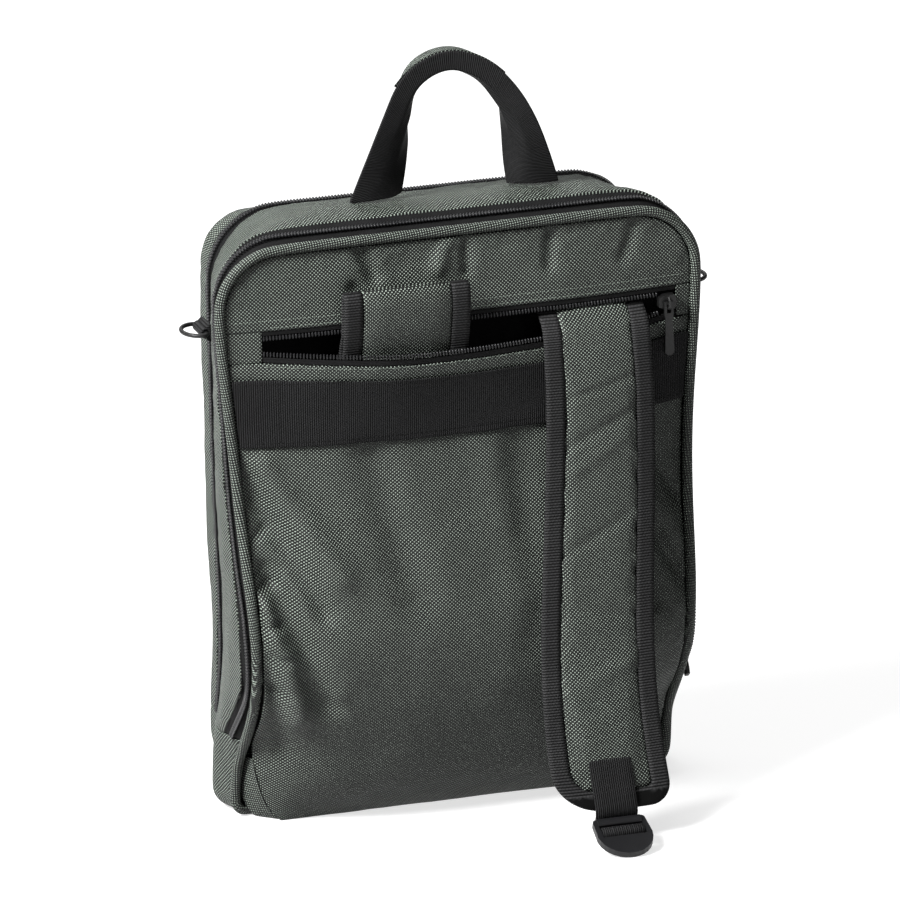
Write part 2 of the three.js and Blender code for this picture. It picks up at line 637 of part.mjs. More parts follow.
function buildLining() {
  const inset = TAPE + TAPE_SUNK + 1.5 * SEAM_GAP;
  const setback = PANEL_MARGIN + 2.5 * SEAM_GAP;
  const arcStart = SEAM_HEIGHT - CORNER_RADIUS;
  const arc = steps(4).slice(1).map((share) => arcStart + (CORNER_RADIUS - inset) * Math.sin((share * Math.PI) / 2));
  const rows = [...steps(8, FOOT_HEIGHT, arcStart), ...arc];
  const face = rows.map((z) => steps(8, -1, 1).map((across) => {
    const deep = (POCKET_DEPTH - setback) * (1 - Math.abs(across) ** CORNER_BOX);
    return point(across * halfWidth(z, 0, inset), depthAt(setback, z) + deep, z);
  }));
  add('pocket_lining', sheet(face, shifted(face, 0, TAPE, 0)), BLACK_TAPE);
}

function buildFrontPanel() {
  const { top, bottom, corner, foot } = outlineAt(DEPTH, 0);
  const curve = (share) => 1 - Math.cos((share * Math.PI) / 2);
  const rows = [
    ...steps(3).map((share) => bottom + foot * curve(share)),
    ...steps(6, bottom + foot, top - corner).slice(1, -1),
    ...steps(5).map((share) => top - corner * curve(1 - share)),
  ];
  const back = rows.map((z) => steps(8, -1, 1).map((across) => {
    const tall = 1 - Math.abs((2 * (z - bottom)) / (top - bottom) - 1) ** CORNER_BOX;
    const puff = FRONT_PUFF * tall * (1 - Math.abs(across) ** CORNER_BOX);
    return point(across * halfWidth(z, DEPTH, 0), NEAR_Y + DEPTH + SEAM_GAP + puff, z);
  }));
  add('front_panel', sheet(back, shifted(back, 0, FABRIC, 0)), GREEN_CLOTH);
}

// The ends of the pocket's mouth, closed by a patch of cloth on each side of the zip.
function buildMouthPatches() {
  const heights = [MOUTH_BOTTOM + SEAM_GAP, MOUTH_TOP];
  const patch = (from, to) => heights.map((z) => {
    const edge = panelEdge(z);
    return steps(2).map((share) => {
      const x = THREE.MathUtils.lerp(from ?? -edge.x, to ?? edge.x, share);
      return panelPoint(x / edge.x, edge);
    });
  });
  const left = patch(null, MOUTH_LEFT);
  const right = patch(MOUTH_RIGHT, null);
  add('left_mouth_patch', sheet(left, shifted(left, 0, FABRIC, 0)), GREEN_CLOTH);
  add('right_mouth_patch', sheet(right, shifted(right, 0, FABRIC, 0)), GREEN_CLOTH);
}

const SLIDER_MIDDLE = MOUTH_RIGHT - SLIDER_LENGTH / 2 - 1.2;
const TEETH_END = SLIDER_MIDDLE - SLIDER_LENGTH / 2 - SEAM_GAP;

// A zip half along the mouth: its tape from the cloth's edge, and its row of teeth on the tape's free edge.
function buildMouthZip(name, edgeAt, width) {
  const grows = Math.sign(width);
  const drop = point(0, 0, width);
  const tape = steps(16, MOUTH_LEFT + SEAM_GAP, MOUTH_RIGHT - SEAM_GAP).map((x) => [edgeAt(x), edgeAt(x).add(drop)]);
  add(`${name}_tape`, sheet(tape, shifted(tape, 0, TAPE, 0)), BLACK_TAPE);
  const teeth = steps(16, MOUTH_LEFT + SEAM_GAP, TEETH_END).map((x) => {
    const low = edgeAt(x).add(drop).add(point(0, -(TEETH_THICKNESS - TAPE) / 2, grows * SEAM_GAP));
    return [low, low.clone().add(point(0, 0, grows * TEETH_WIDTH))];
  });
  add(`${name}_teeth`, sheet(teeth, shifted(teeth, 0, TEETH_THICKNESS, 0)), BLACK_PLASTIC);
}

const upperEdge = (x) => {
  const edge = panelEdge(MOUTH_TOP);
  return panelPoint(x / edge.x, edge).add(point(0, TAPE_SUNK, 0));
};
const lowerEdge = (x) => {
  const edge = panelEdge(MOUTH_BOTTOM);
  return lowerPoint(x / edge.x, edge).add(point(0, TAPE_SUNK, SEAM_GAP));
};

// The middle line of a strap, and its width to the right, its run down and its outward direction at a share.
function strapLine(rows, placeOf) {
  const centre = new THREE.CatmullRomCurve3(rows.map(placeOf), false, 'centripetal');
  const length = centre.getLength();
  return {
    length,
    at(down, side, off) {
      const share = THREE.MathUtils.clamp(down / length, 0, 1);
      const forward = centre.getTangentAt(share);
      const out = point(-1, 0, 0).cross(forward).normalize();
      return centre.getPointAt(share).add(point(side, 0, 0)).addScaledVector(out, off);
    },
  };
}

const hanging = strapLine(STRAP_ROWS, (row) =>
  point(STRAP_MIDDLE + row.lean * STRAP_WIDTH, NEAR_Y - row.out * DEPTH, row.up * MOUTH_BOTTOM));
// The strap's half width and half thickness; it is flat where it lies in the pocket.
const strapHalf = (down) => THREE.MathUtils.lerp(STRAP_NECK, STRAP_WIDTH, Math.min(down / hanging.length, 1)) / 2;
const strapPlump = (down) => 0.62 + 0.38 * THREE.MathUtils.smoothstep(down, 0.56 * STRAP_TUCK, 1.06 * STRAP_TUCK);

function buildHangingStrap() {
  const length = hanging.length;
  const straight = length - INNER_CORNER;
  const downs = [...steps(12, 0, STRAP_TUCK), ...steps(13, STRAP_TUCK, straight).slice(1)];
  const corner = (radius, sign) => steps(6).slice(1).map((share) => {
    const turn = (share * Math.PI) / 2;
    const middle = { down: length - radius, side: sign * (STRAP_WIDTH / 2 - radius) };
    const on = (r) => [middle.down + r * Math.sin(turn), middle.side + sign * r * Math.cos(turn)];
    return { outer: on(radius), inner: on(radius - BINDING_WIDTH) };
  });
  const edge = (sign) => (down) => ({
    outer: [down, sign * strapHalf(down)],
    inner: [down, sign * (strapHalf(down) - BINDING_WIDTH)],
  });
  const outline = [
    ...downs.map(edge(-1)),
    ...corner(INNER_CORNER, -1),
    ...corner(OUTER_CORNER, 1).reverse(),
    ...[length - OUTER_CORNER, ...downs.slice().reverse()].map(edge(1)),
  ];
  const binding = outline.map(({ outer, inner }) => {
    const thick = (STRAP_EDGE / 2) * strapPlump(outer[0]);
    return [
      hanging.at(...outer, thick * 0.6), hanging.at(...inner, thick),
      hanging.at(...inner, -thick), hanging.at(...outer, -thick * 0.6),
    ];
  });
  add('strap_binding', loft(binding), BLACK_WEBBING);

  const left = INNER_CORNER - BINDING_WIDTH + 2 * SEAM_GAP;
  const right = OUTER_CORNER - BINDING_WIDTH;
  const lastRows = [1, 0.72, 0.45, 0.2, 0].map((share) => length - BINDING_WIDTH - SEAM_GAP - share * left);
  const inward = (radius, down) => {
    const past = Math.max(0, down - (length - BINDING_WIDTH - radius));
    return radius - Math.sqrt(Math.max(radius ** 2 - past ** 2, 0));
  };
  const pad = [...downs.slice(0, -1), ...lastRows].map((down) => {
    const inner = strapHalf(down) - BINDING_WIDTH - 1.5 * SEAM_GAP;
    const sides = steps(4, -inner + inward(left, down), inner - inward(right, down));
    const halves = [STRAP_EDGE, 0.92 * STRAP_THICKNESS, STRAP_THICKNESS, 0.92 * STRAP_THICKNESS, STRAP_EDGE];
    const face = (sign) => sides.map((side, i) => hanging.at(down, side, (sign * strapPlump(down) * halves[i]) / 2));
    return [...face(1), ...face(-1).reverse()];
  });
  add('strap_pad', loft(pad), GREEN_CLOTH);
}

// A ribbon of some width and thickness along points in the plane across X.
function ribbon(points, middle, width, thickness) {
  const path = new THREE.CatmullRomCurve3(points, false, 'centripetal');
  return loft(steps(Math.round(1.75 * (points.length - 1))).map((share) => {
    const at = path.getPoint(share);
    const off = path.getTangent(share).cross(point(1, 0, 0)).normalize().multiplyScalar(thickness / 2);
    const corner = (side, sign) => at.clone().setX(middle + side * width).addScaledVector(off, sign);
    return [corner(-0.5, 1), corner(0.5, 1), corner(0.5, -1), corner(-0.5, -1)];
  }));
}

function buildStowedStrap() {
  const line = STOWED_ROWS.map((row) => point(0, NEAR_Y - row.out * DEPTH, row.up * MOUTH_BOTTOM));
  const pad = STOWED_WIDTH - 2 * BINDING_WIDTH;
  const edge = (pad + BINDING_WIDTH) / 2;
  add('stowed_pad', ribbon(line, STOWED_MIDDLE, pad - 2 * SEAM_GAP, STOWED_THICKNESS), GREEN_CLOTH);
  const bound = STOWED_THICKNESS * 0.8;
  add('stowed_binding_left', ribbon(line, STOWED_MIDDLE - edge, BINDING_WIDTH, bound), BLACK_WEBBING);
  add('stowed_binding_right', ribbon(line, STOWED_MIDDLE + edge, BINDING_WIDTH, bound), BLACK_WEBBING);
}

const BUCKLE_SHIFT = -1.5; // left of the strap's end
const BUCKLE_START = 6.5; // past the strap's end
const BUCKLE_LOBE = BUCKLE_TOP_BAR + BUCKLE_FIRST_SLOT + BUCKLE_BAR + BUCKLE_SECOND_SLOT;

// The buckle's frame: its upper end on the strap's line, its lower end on the floor. past gives a place beyond
// the strap's end, in the strap's own direction, and at gives one in the buckle's.
function placeBuckle() {
  const end = hanging.at(hanging.length, 0, 0).add(point(BUCKLE_SHIFT, 0, 0));
  const forward = hanging.at(hanging.length, 0, 0).sub(hanging.at(hanging.length - 4, 0, 0)).setX(0).normalize();
  const outward = point(-1, 0, 0).cross(forward);
  const past = (run, off) => end.clone().addScaledVector(forward, run).addScaledVector(outward, off);
  const top = past(BUCKLE_START, 0);
  const slope = Math.asin((top.z - BUCKLE_FOOT) / BUCKLE_LENGTH);
  const down = point(0, -Math.cos(slope), -Math.sin(slope));
  const out = point(0, -Math.sin(slope), Math.cos(slope));
  const at = (run, off) => top.clone().addScaledVector(down, run).addScaledVector(out, off);
  return { top, slope, past, at };
}

function buildBuckle() {
  const rim = BUCKLE_WIDTH / 2;
  const shoulder = 2.5;
  const outline = new THREE.Shape();
  outline.moveTo(rim - shoulder, 0);
  outline.absarc(rim - shoulder, -shoulder, shoulder, Math.PI / 2, 0, true);
  outline.lineTo(rim + 0.8, -BUCKLE_LOBE * 0.95);
  outline.quadraticCurveTo(rim, -BUCKLE_LENGTH * 0.8, rim * 0.45, -BUCKLE_LENGTH * 0.95);
  outline.quadraticCurveTo(0, -BUCKLE_LENGTH * 1.05, -rim * 0.45, -BUCKLE_LENGTH * 0.95);
  outline.quadraticCurveTo(-rim, -BUCKLE_LENGTH * 0.8, -rim - 0.8, -BUCKLE_LOBE * 0.95);
  outline.lineTo(-rim, -shoulder);
  outline.absarc(-rim + shoulder, -shoulder, shoulder, Math.PI, Math.PI / 2, true);
  const slotHalf = rim - BUCKLE_RIM;
  const slots = [
    { from: BUCKLE_TOP_BAR, to: BUCKLE_TOP_BAR + BUCKLE_FIRST_SLOT },
    { from: BUCKLE_LOBE - BUCKLE_SECOND_SLOT, to: BUCKLE_LOBE },
  ];
  slots.forEach(({ from, to }) => {
    const slot = new THREE.Path();
    slot.moveTo(-slotHalf, -from);
    slot.lineTo(-slotHalf, -to);
    slot.lineTo(slotHalf, -to);
    slot.lineTo(slotHalf, -from);
    outline.holes.push(slot);
  });
  const plate = new THREE.ExtrudeGeometry(outline, { depth: BUCKLE_THICKNESS, bevelEnabled: false, curveSegments: 5 });
  plate.translate(0, 0, -BUCKLE_THICKNESS / 2);
  // The middle bar is thinner than the frame, and the upper one stands proud of it.
  const barMiddle = BUCKLE_LOBE - BUCKLE_SECOND_SLOT - BUCKLE_BAR / 2;
  const shave = (sign) => {
    const box = new THREE.BoxGeometry(2 * slotHalf, BUCKLE_BAR + 1, BUCKLE_THICKNESS);
    return toSolid(box.translate(0, -barMiddle, sign * (BUCKLE_THICKNESS / 2 + BUCKLE_BAR / 2)));
  };
  const ridge = new THREE.CylinderGeometry(BUCKLE_TOP_BAR / 2, BUCKLE_TOP_BAR / 2, 2 * slotHalf, 12);
  ridge.rotateZ(Math.PI / 2).scale(1, 1, 0.5).translate(0, -BUCKLE_TOP_BAR / 2, BUCKLE_THICKNESS / 2);
  const solid = toSolid(plate).subtract(shave(1)).subtract(shave(-1)).add(toSolid(ridge));
  const { top, slope } = placeBuckle();
  const frame = new THREE.Group();
  frame.position.copy(top);
  frame.rotation.x = slope;
  add('buckle', toGeometry(solid), BLACK_PLASTIC, frame);
  bag.add(frame);
}

// The short webbing sewn to the strap's end, passing below the buckle's upper bar, round its middle bar and back.
function buildStrapTab() {
  const { top, past, at } = placeBuckle();
  const lift = STRAP_THICKNESS / 2 + SEAM_GAP + WEBBING / 2;
  const under = BUCKLE_THICKNESS / 2 + SEAM_GAP + WEBBING / 2;
  const over = BUCKLE_BAR / 2 + SEAM_GAP + WEBBING / 2;
  const bar = BUCKLE_TOP_BAR + BUCKLE_FIRST_SLOT;
  const slot = bar - BUCKLE_FIRST_SLOT / 2;
  const sewn = [
    [TAB_LENGTH, lift], [0.6 * TAB_LENGTH, lift], [11, lift], [6, 0.88 * lift], [1, 0.72 * lift],
  ].map(([up, off]) => hanging.at(hanging.length - up, BUCKLE_SHIFT, off));
  const path = [
    ...sewn,
    past(1.8, 2.1), past(4.1, 0), past(6, -2.7),
    at(0.4, -under - 0.6), at(BUCKLE_TOP_BAR - 0.6, -under - 0.7), at(slot - 0.5, -over), at(slot, -0.5), at(slot, 0.8),
    at(bar - 0.4, over), at(bar + BUCKLE_BAR + 0.4, over), at(BUCKLE_LOBE - 1.9, 0), at(bar + BUCKLE_BAR + 0.7, -over - 0.7),
    at(bar - 3.4, -under - 2 * WEBBING), at(0, -under - 2 * WEBBING - 0.6), at(-3, -under - 2 * WEBBING - 0.9),
  ];
  add('strap_tab', ribbon(path, top.x, TAB_WIDTH, WEBBING), BLACK_WEBBING);
}

// The handle's webbing at a row of its table: four points across it, and its outward direction.
function handleSection(row, before, after) {
  const place = (r) => point(
    HANDLE_SHIFT + (r.across * HANDLE_SPAN) / 2,
    NEAR_Y + HANDLE_SETBACK,
    SEAM_HEIGHT + CROWN_RISE + SEAM_GAP + r.up * HANDLE_RISE,
  );
  const run = place(after).sub(place(before)).normalize();
  const outward = point(-run.z, 0, run.x);
  const widths = [HANDLE_WALL, 1 - 2 * HANDLE_WALL, HANDLE_WALL].map((share) => share * HANDLE_WEBBING);
  const bend = THREE.MathUtils.degToRad(row.fold);
  const across = (turn) => outward.clone().multiplyScalar(-Math.cos(turn)).add(point(0, Math.sin(turn), 0));
  const start = place(row).add(point(0, -(widths[1] / 2) * Math.sin(bend), 0));
  const outer = [start];
  widths.forEach((width, i) => outer.push(outer[i].clone().addScaledVector(across(i * bend), width)));
  const normal = (turn) => outward.clone().multiplyScalar(Math.sin(turn)).add(point(0, Math.cos(turn), 0));
  const turns = [0, 0.5 * bend, 1.5 * bend, 2 * bend];
  const mitre = [1, 1 / Math.cos(bend / 2), 1 / Math.cos(bend / 2), 1];
  const inner = outer.map((p, i) => p.clone().addScaledVector(normal(turns[i]), WEBBING * mitre[i]));
  return { outer, inner, outward };
}

function buildHandle() {
  const last = HANDLE_ROWS.length - 1;
  const sections = HANDLE_ROWS.map((row, i) =>
    handleSection(row, HANDLE_ROWS[Math.max(i - 1, 0)], HANDLE_ROWS[Math.min(i + 1, last)]));
  // The feet end level, on the gusset.
  [sections[0], sections[last]].forEach(({ outer, inner }) => {
    [...outer, ...inner].forEach((p) => { p.z = SEAM_HEIGHT + CROWN_RISE + SEAM_GAP; });
  });
  const webbing = sections.map(({ outer, inner }) => [...outer, ...inner.slice().reverse()]);
  add('handle_webbing', loft(webbing), BLACK_WEBBING);
  // The facing closes the channel: it runs from behind the near wall's edge to over the far wall's edge.
  const facing = sections.slice(FACING_FIRST, FACING_LAST + 1).map(({ outer, outward }) => {
    const near = outer[0].clone().add(point(0, WEBBING + SEAM_GAP, 0)).addScaledVector(outward, -FACING_THICKNESS / 2);
    const drop = outer[0].clone().sub(outer[3]).dot(outward);
    const far = outer[0].clone().addScaledVector(outward, SEAM_GAP + 0.3 - drop).setY(outer[3].y + 1);
    const lifted = (p) => p.clone().addScaledVector(outward, FACING_THICKNESS);
    return [near, far, lifted(far), lifted(near)];
  });
  add('handle_facing', loft(facing), GREEN_CLOTH);
}

// A side ring in its webbing tab. The ring's bar runs along Y in the tab.
function buildRing(name, side) {
  const surface = skinPoint({ name: 'side', side, share: 0.97 }, RING_SETBACK);
  const widest = skinPoint({ name: 'side', side, share: 0.97 }, RING_SETBACK - RING_TAB_WIDTH / 2);
  const flat = Math.abs(widest.x) + SEAM_GAP;
  const hole = WIRE_RADIUS + RUNNING_GAP;
  const bar = flat + RING_TAB_WALL + hole;
  const outerRadius = hole + RING_TAB_WALL;
  const profile = new THREE.Shape();
  profile.moveTo(flat, -RING_TAB_HEIGHT / 2);
  profile.lineTo(flat + RING_TAB_WALL, -RING_TAB_HEIGHT / 2);
  profile.lineTo(bar, -outerRadius);
  profile.absarc(bar, 0, outerRadius, -Math.PI / 2, Math.PI / 2, false);
  profile.lineTo(flat + RING_TAB_WALL, RING_TAB_HEIGHT / 2);
  profile.lineTo(flat, RING_TAB_HEIGHT / 2);
  const bore = new THREE.Path();
  bore.absarc(bar, 0, hole, 0, 2 * Math.PI, false);
  profile.holes.push(bore);
  const tab = new THREE.ExtrudeGeometry(profile, { depth: RING_TAB_WIDTH, bevelEnabled: false, curveSegments: 8 });
  tab.rotateX(Math.PI / 2).translate(0, surface.y + RING_TAB_WIDTH / 2, RING_HEIGHT);
  if (side < 0) tab.rotateZ(Math.PI).translate(0, 2 * surface.y, 0);
  add(`${name}_ring_tab`, tab, BLACK_WEBBING);

  const half = RING_WIDTH / 2;
  const arms = RING_REACH - half * 0.75;
  const loop = [
    ...steps(4, -half + 2, half - 2).map((y) => [0, y]),
    [0.6, half - 0.6],
    ...steps(10, -Math.PI / 2, Math.PI / 2).reverse()
      .map((turn) => [arms + (RING_REACH - arms) * Math.cos(turn), half * Math.sin(turn)]),
    [0.6, -half + 0.6],
  ].map(([out, y]) => point(side * (bar + out), surface.y + y, RING_HEIGHT));
  add(`${name}_ring`, tube(loop, WIRE_RADIUS, 6, point(0, 0, 1), true), BLACK_METAL);
}

// A block with its two ends narrowed, as a slider's body. Its length runs along X.
function sliderBody(length, width, thickness) {
  const shape = new THREE.Shape();
  shape.moveTo(-length / 2, -width * 0.32);
  shape.lineTo(-length * 0.1, -width / 2);
  shape.lineTo(length * 0.35, -width / 2);
  shape.quadraticCurveTo(length / 2, -width / 2, length / 2, 0);
  shape.quadraticCurveTo(length / 2, width / 2, length * 0.35, width / 2);
  shape.lineTo(-length * 0.1, width / 2);
  shape.lineTo(-length / 2, width * 0.32);
  const body = new THREE.ExtrudeGeometry(shape, { depth: thickness, bevelEnabled: false, curveSegments: 3 });
  return body.translate(0, 0, -thickness / 2);
}

const MOUTH_SLIDER_OUT = 5.8; // the slider's face before the worn panel's seam
const PULL_AXIS = MOUTH_SLIDER_OUT + 1.35;

function buildMouthSlider() {
  const middle = MOUTH_BOTTOM + SEAM_GAP + LOWER_TAPE + (MOUTH_HEIGHT - UPPER_TAPE - LOWER_TAPE) / 2 + 0.2;
  const body = sliderBody(SLIDER_LENGTH, SLIDER_WIDTH, SLIDER_THICKNESS);
  body.rotateX(Math.PI / 2).translate(0, SLIDER_THICKNESS / 2, 0);
  const out = PULL_AXIS - MOUTH_SLIDER_OUT + Math.hypot(PULL_BAR, PULL_THICKNESS / 2) + RUNNING_GAP + BRIDGE_RADIUS;
  const span = BRIDGE_SPAN / 2;
  const bridge = tube([
    point(0, 1, -span), point(0, -out * 0.7, -span), point(0, -out, -span + 0.9),
    point(0, -out, span - 0.9), point(0, -out * 0.7, span), point(0, 1, span),
  ], BRIDGE_RADIUS, 6, point(1, 0, 0));
  const slider = toGeometry(toSolid(body).add(toSolid(bridge)));
  slider.translate(SLIDER_MIDDLE, NEAR_Y - MOUTH_SLIDER_OUT, middle);
  add('pocket_zip_slider', slider, BLACK_METAL);

  // The pull hangs from its upper bar, which is held by the slider's bridge.
  const shape = new THREE.Shape();
  const end = PULL_WIDTH / 2;
  const waist = PULL_WAIST / 2;
  const shank = PULL_EYE + 3;
  shape.moveTo(-end, PULL_BAR);
  shape.lineTo(-end, -PULL_EYE);
  shape.lineTo(-waist, -shank);
  shape.lineTo(-end, -PULL_LENGTH + end);
  shape.absarc(0, -PULL_LENGTH + end, end, Math.PI, 2 * Math.PI, false);
  shape.lineTo(waist, -shank);
  shape.lineTo(end, -PULL_EYE);
  shape.lineTo(end, PULL_BAR);
  const eye = new THREE.Path();
  const eyeHalf = BRIDGE_RADIUS + RUNNING_GAP + 0.1;
  eye.moveTo(-eyeHalf, -PULL_BAR);
  eye.lineTo(-eyeHalf, -PULL_EYE + 0.6);
  eye.lineTo(eyeHalf, -PULL_EYE + 0.6);
  eye.lineTo(eyeHalf, -PULL_BAR);
  shape.holes.push(eye);
  const pull = new THREE.ExtrudeGeometry(shape, { depth: PULL_THICKNESS, bevelEnabled: false, curveSegments: 8 });
  pull.translate(0, 0, -PULL_THICKNESS / 2).rotateX(Math.PI / 2);
  pull.translate(SLIDER_MIDDLE, NEAR_Y - PULL_AXIS, middle);
  add('pocket_zip_pull', pull, BLACK_METAL);
}

// A plain slider on one of the long zips, at its closed end on the right.
function buildLongSlider(name, setback) {
  const foot = skinPoint({ name: 'side', side: 1, share: 0.03 }, setback);
  const head = skinPoint({ name: 'side', side: 1, share: 0.09 }, setback);
  const body = sliderBody(SLIDER_LENGTH, SLIDER_WIDTH * 0.8, 2.4);
  body.rotateZ(Math.PI / 2).rotateY(Math.PI / 2);
  const run = head.clone().sub(foot).normalize();
  body.rotateX(-Math.atan2(run.y, run.z)).rotateY(Math.atan2(run.x, run.z));
  const lift = COIL_RISE + SEAM_GAP * 2 + 1.35;
  const middle = foot.clone().lerp(head, 0.5).add(point(lift, 0, 0));
  add(name, body.translate(middle.x, middle.y, middle.z), BLACK_METAL);
}

buildGussets();
buildLongZip('main_zip', MAIN_ZIP_START + SEAM_GAP, MAIN_ZIP_WIDTH - SEAM_GAP);
buildLongZip('front_zip', FRONT_ZIP_SETBACK, FRONT_ZIP_WIDTH);
buildWornPanel();
buildToe();
buildLining();
buildFrontPanel();
buildMouthPatches();
buildMouthZip('pocket_zip_upper', upperEdge, -UPPER_TAPE);
buildMouthZip('pocket_zip_lower', lowerEdge, LOWER_TAPE);
buildMouthSlider();
buildHangingStrap();
buildStrapTab();
buildBuckle();
buildStowedStrap();
buildHandle();
buildRing('left', -1);
buildRing('right', 1);
buildLongSlider('main_zip_slider', MAIN_ZIP_START + MAIN_ZIP_WIDTH / 2);
buildLongSlider('front_zip_slider', FRONT_ZIP_SETBACK + FRONT_ZIP_WIDTH / 2);

export default bag;
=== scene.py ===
import math

import bmesh
import bpy
import numpy as np
from mathutils import Matrix, Vector, noise
from mathutils.bvhtree import BVHTree
from mathutils.kdtree import KDTree


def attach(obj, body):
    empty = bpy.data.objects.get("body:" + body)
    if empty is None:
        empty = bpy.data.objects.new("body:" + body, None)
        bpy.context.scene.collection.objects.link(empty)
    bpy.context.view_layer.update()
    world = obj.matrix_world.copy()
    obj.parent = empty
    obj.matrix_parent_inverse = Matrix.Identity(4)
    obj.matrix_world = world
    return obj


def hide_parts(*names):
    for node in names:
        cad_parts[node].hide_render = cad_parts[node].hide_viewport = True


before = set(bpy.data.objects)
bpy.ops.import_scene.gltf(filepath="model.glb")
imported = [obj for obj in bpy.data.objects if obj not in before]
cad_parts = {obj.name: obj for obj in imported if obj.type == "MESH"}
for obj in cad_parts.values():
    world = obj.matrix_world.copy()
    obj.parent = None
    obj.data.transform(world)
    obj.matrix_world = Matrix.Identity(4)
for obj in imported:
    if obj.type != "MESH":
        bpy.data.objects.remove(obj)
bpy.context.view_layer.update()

# Sizes are in metres; MM turns a size given in millimetres into one.
MM = 0.001

# The photograph's camera
CAMERA_AZIMUTH = -17.04
CAMERA_ELEVATION = 17.65
CAMERA_DISTANCE = 8
CAMERA_LENS = 530
CAMERA_ROLL = 1.28
CAMERA_TARGET = Vector((-7.75, -50, 231.1)) * MM

# Cloth, webbing and thread
WEAVE_WIDTH = 2.35 * MM
WEAVE_HEIGHT = 2.2 * MM
BAND_RIB = 1.3 * MM
BINDING_RIB = 1.7 * MM
TOOTH_PITCH = 2.0 * MM
STITCH_PITCH = 3.0 * MM
THREAD = 0.5 * MM
BAND_LOW = 248 * MM
BAND_HIGH = 290 * MM

# Creases in the worn side: each runs from one point to another, in millimetres across (x) and up (z). wide is
# the crease's own half width and out its height towards the wearer, or its depth where that is below nothing.
CREASES = [
    dict(start=(-139, 232), end=(-97, 146), wide=7.0, out=-1.7),
    dict(start=(-128, 236), end=(-86, 168), wide=9.0, out=1.3),
    dict(start=(-127, 170), end=(-96, 88), wide=8.0, out=-2.2),
    dict(start=(-133, 150), end=(-112, 78), wide=6.5, out=1.9),
    dict(start=(-118, 122), end=(-90, 92), wide=5.0, out=0.9),
    dict(start=(-131, 112), end=(-117, 52), wide=5.0, out=-0.9),
    dict(start=(-136, 104), end=(-124, 96), wide=2.6, out=-1.2),
    dict(start=(-136, 122), end=(-123, 118), wide=2.6, out=-1.1),
    dict(start=(-137, 140), end=(-124, 139), wide=2.6, out=-1.0),
    dict(start=(-138, 160), end=(-126, 164), wide=2.8, out=-1.0),
    dict(start=(-140, 190), end=(-128, 196), wide=3.0, out=-0.9),
    dict(start=(-62, 236), end=(-40, 150), wide=12.0, out=-1.1),
    dict(start=(14, 240), end=(26, 150), wide=12.0, out=0.6),
    dict(start=(30, 236), end=(36, 120), wide=12.0, out=-0.6),
    dict(start=(118, 214), end=(134, 186), wide=3.5, out=-1.2),
    dict(start=(116, 190), end=(135, 160), wide=4.5, out=1.1),
    dict(start=(116, 168), end=(136, 132), wide=4.0, out=-1.4),
    dict(start=(114, 120), end=(134, 96), wide=4.0, out=1.0),
    dict(start=(6, 366), end=(4, 344), wide=3.6, out=-0.9),
    dict(start=(-6, 366), end=(-14, 348), wide=4.5, out=0.8),
    dict(start=(60, 366), end=(56, 342), wide=4.0, out=-0.9),
    dict(start=(113, 362), end=(104, 342), wide=4.0, out=-0.7),
    dict(start=(-62, 366), end=(-54, 346), wide=4.5, out=-1.3),
    dict(start=(-66, 340), end=(-56, 330), wide=4.5, out=-1.0),
]

# Creases in the padded face of the hanging strap, in the same terms.
STRAP_CREASES = [
    dict(start=(56, 262), end=(98, 272), wide=3.0, out=-0.9),
    dict(start=(54, 232), end=(100, 252), wide=3.6, out=-1.1),
    dict(start=(54, 214), end=(92, 236), wide=4.0, out=0.8),
    dict(start=(50, 168), end=(94, 190), wide=3.6, out=-0.9),
    dict(start=(48, 138), end=(90, 128), wide=4.5, out=-0.9),
    dict(start=(48, 116), end=(70, 104), wide=3.2, out=-0.8),
    dict(start=(60, 92), end=(92, 104), wide=4.5, out=0.8),
]


class Wire:
    """A shader socket on which Python's own signs add the Math nodes."""

    def __init__(self, surface, socket):
        self.surface = surface
        self.socket = socket

    def math(self, operation, *others):
        return self.surface.node("Math", {"operation": operation}, self, *others)

    def __add__(self, other):
        return self.math("ADD", other)

    def __sub__(self, other):
        return self.math("SUBTRACT", other)

    def __rsub__(self, other):
        return self.surface.node("Math", {"operation": "SUBTRACT"}, other, self)

    def __mul__(self, other):
        return self.math("MULTIPLY", other)

    def __truediv__(self, other):
        return self.math("DIVIDE", other)

    def __pow__(self, other):
        return self.math("POWER", other)

    __radd__ = __add__
    __rmul__ = __mul__


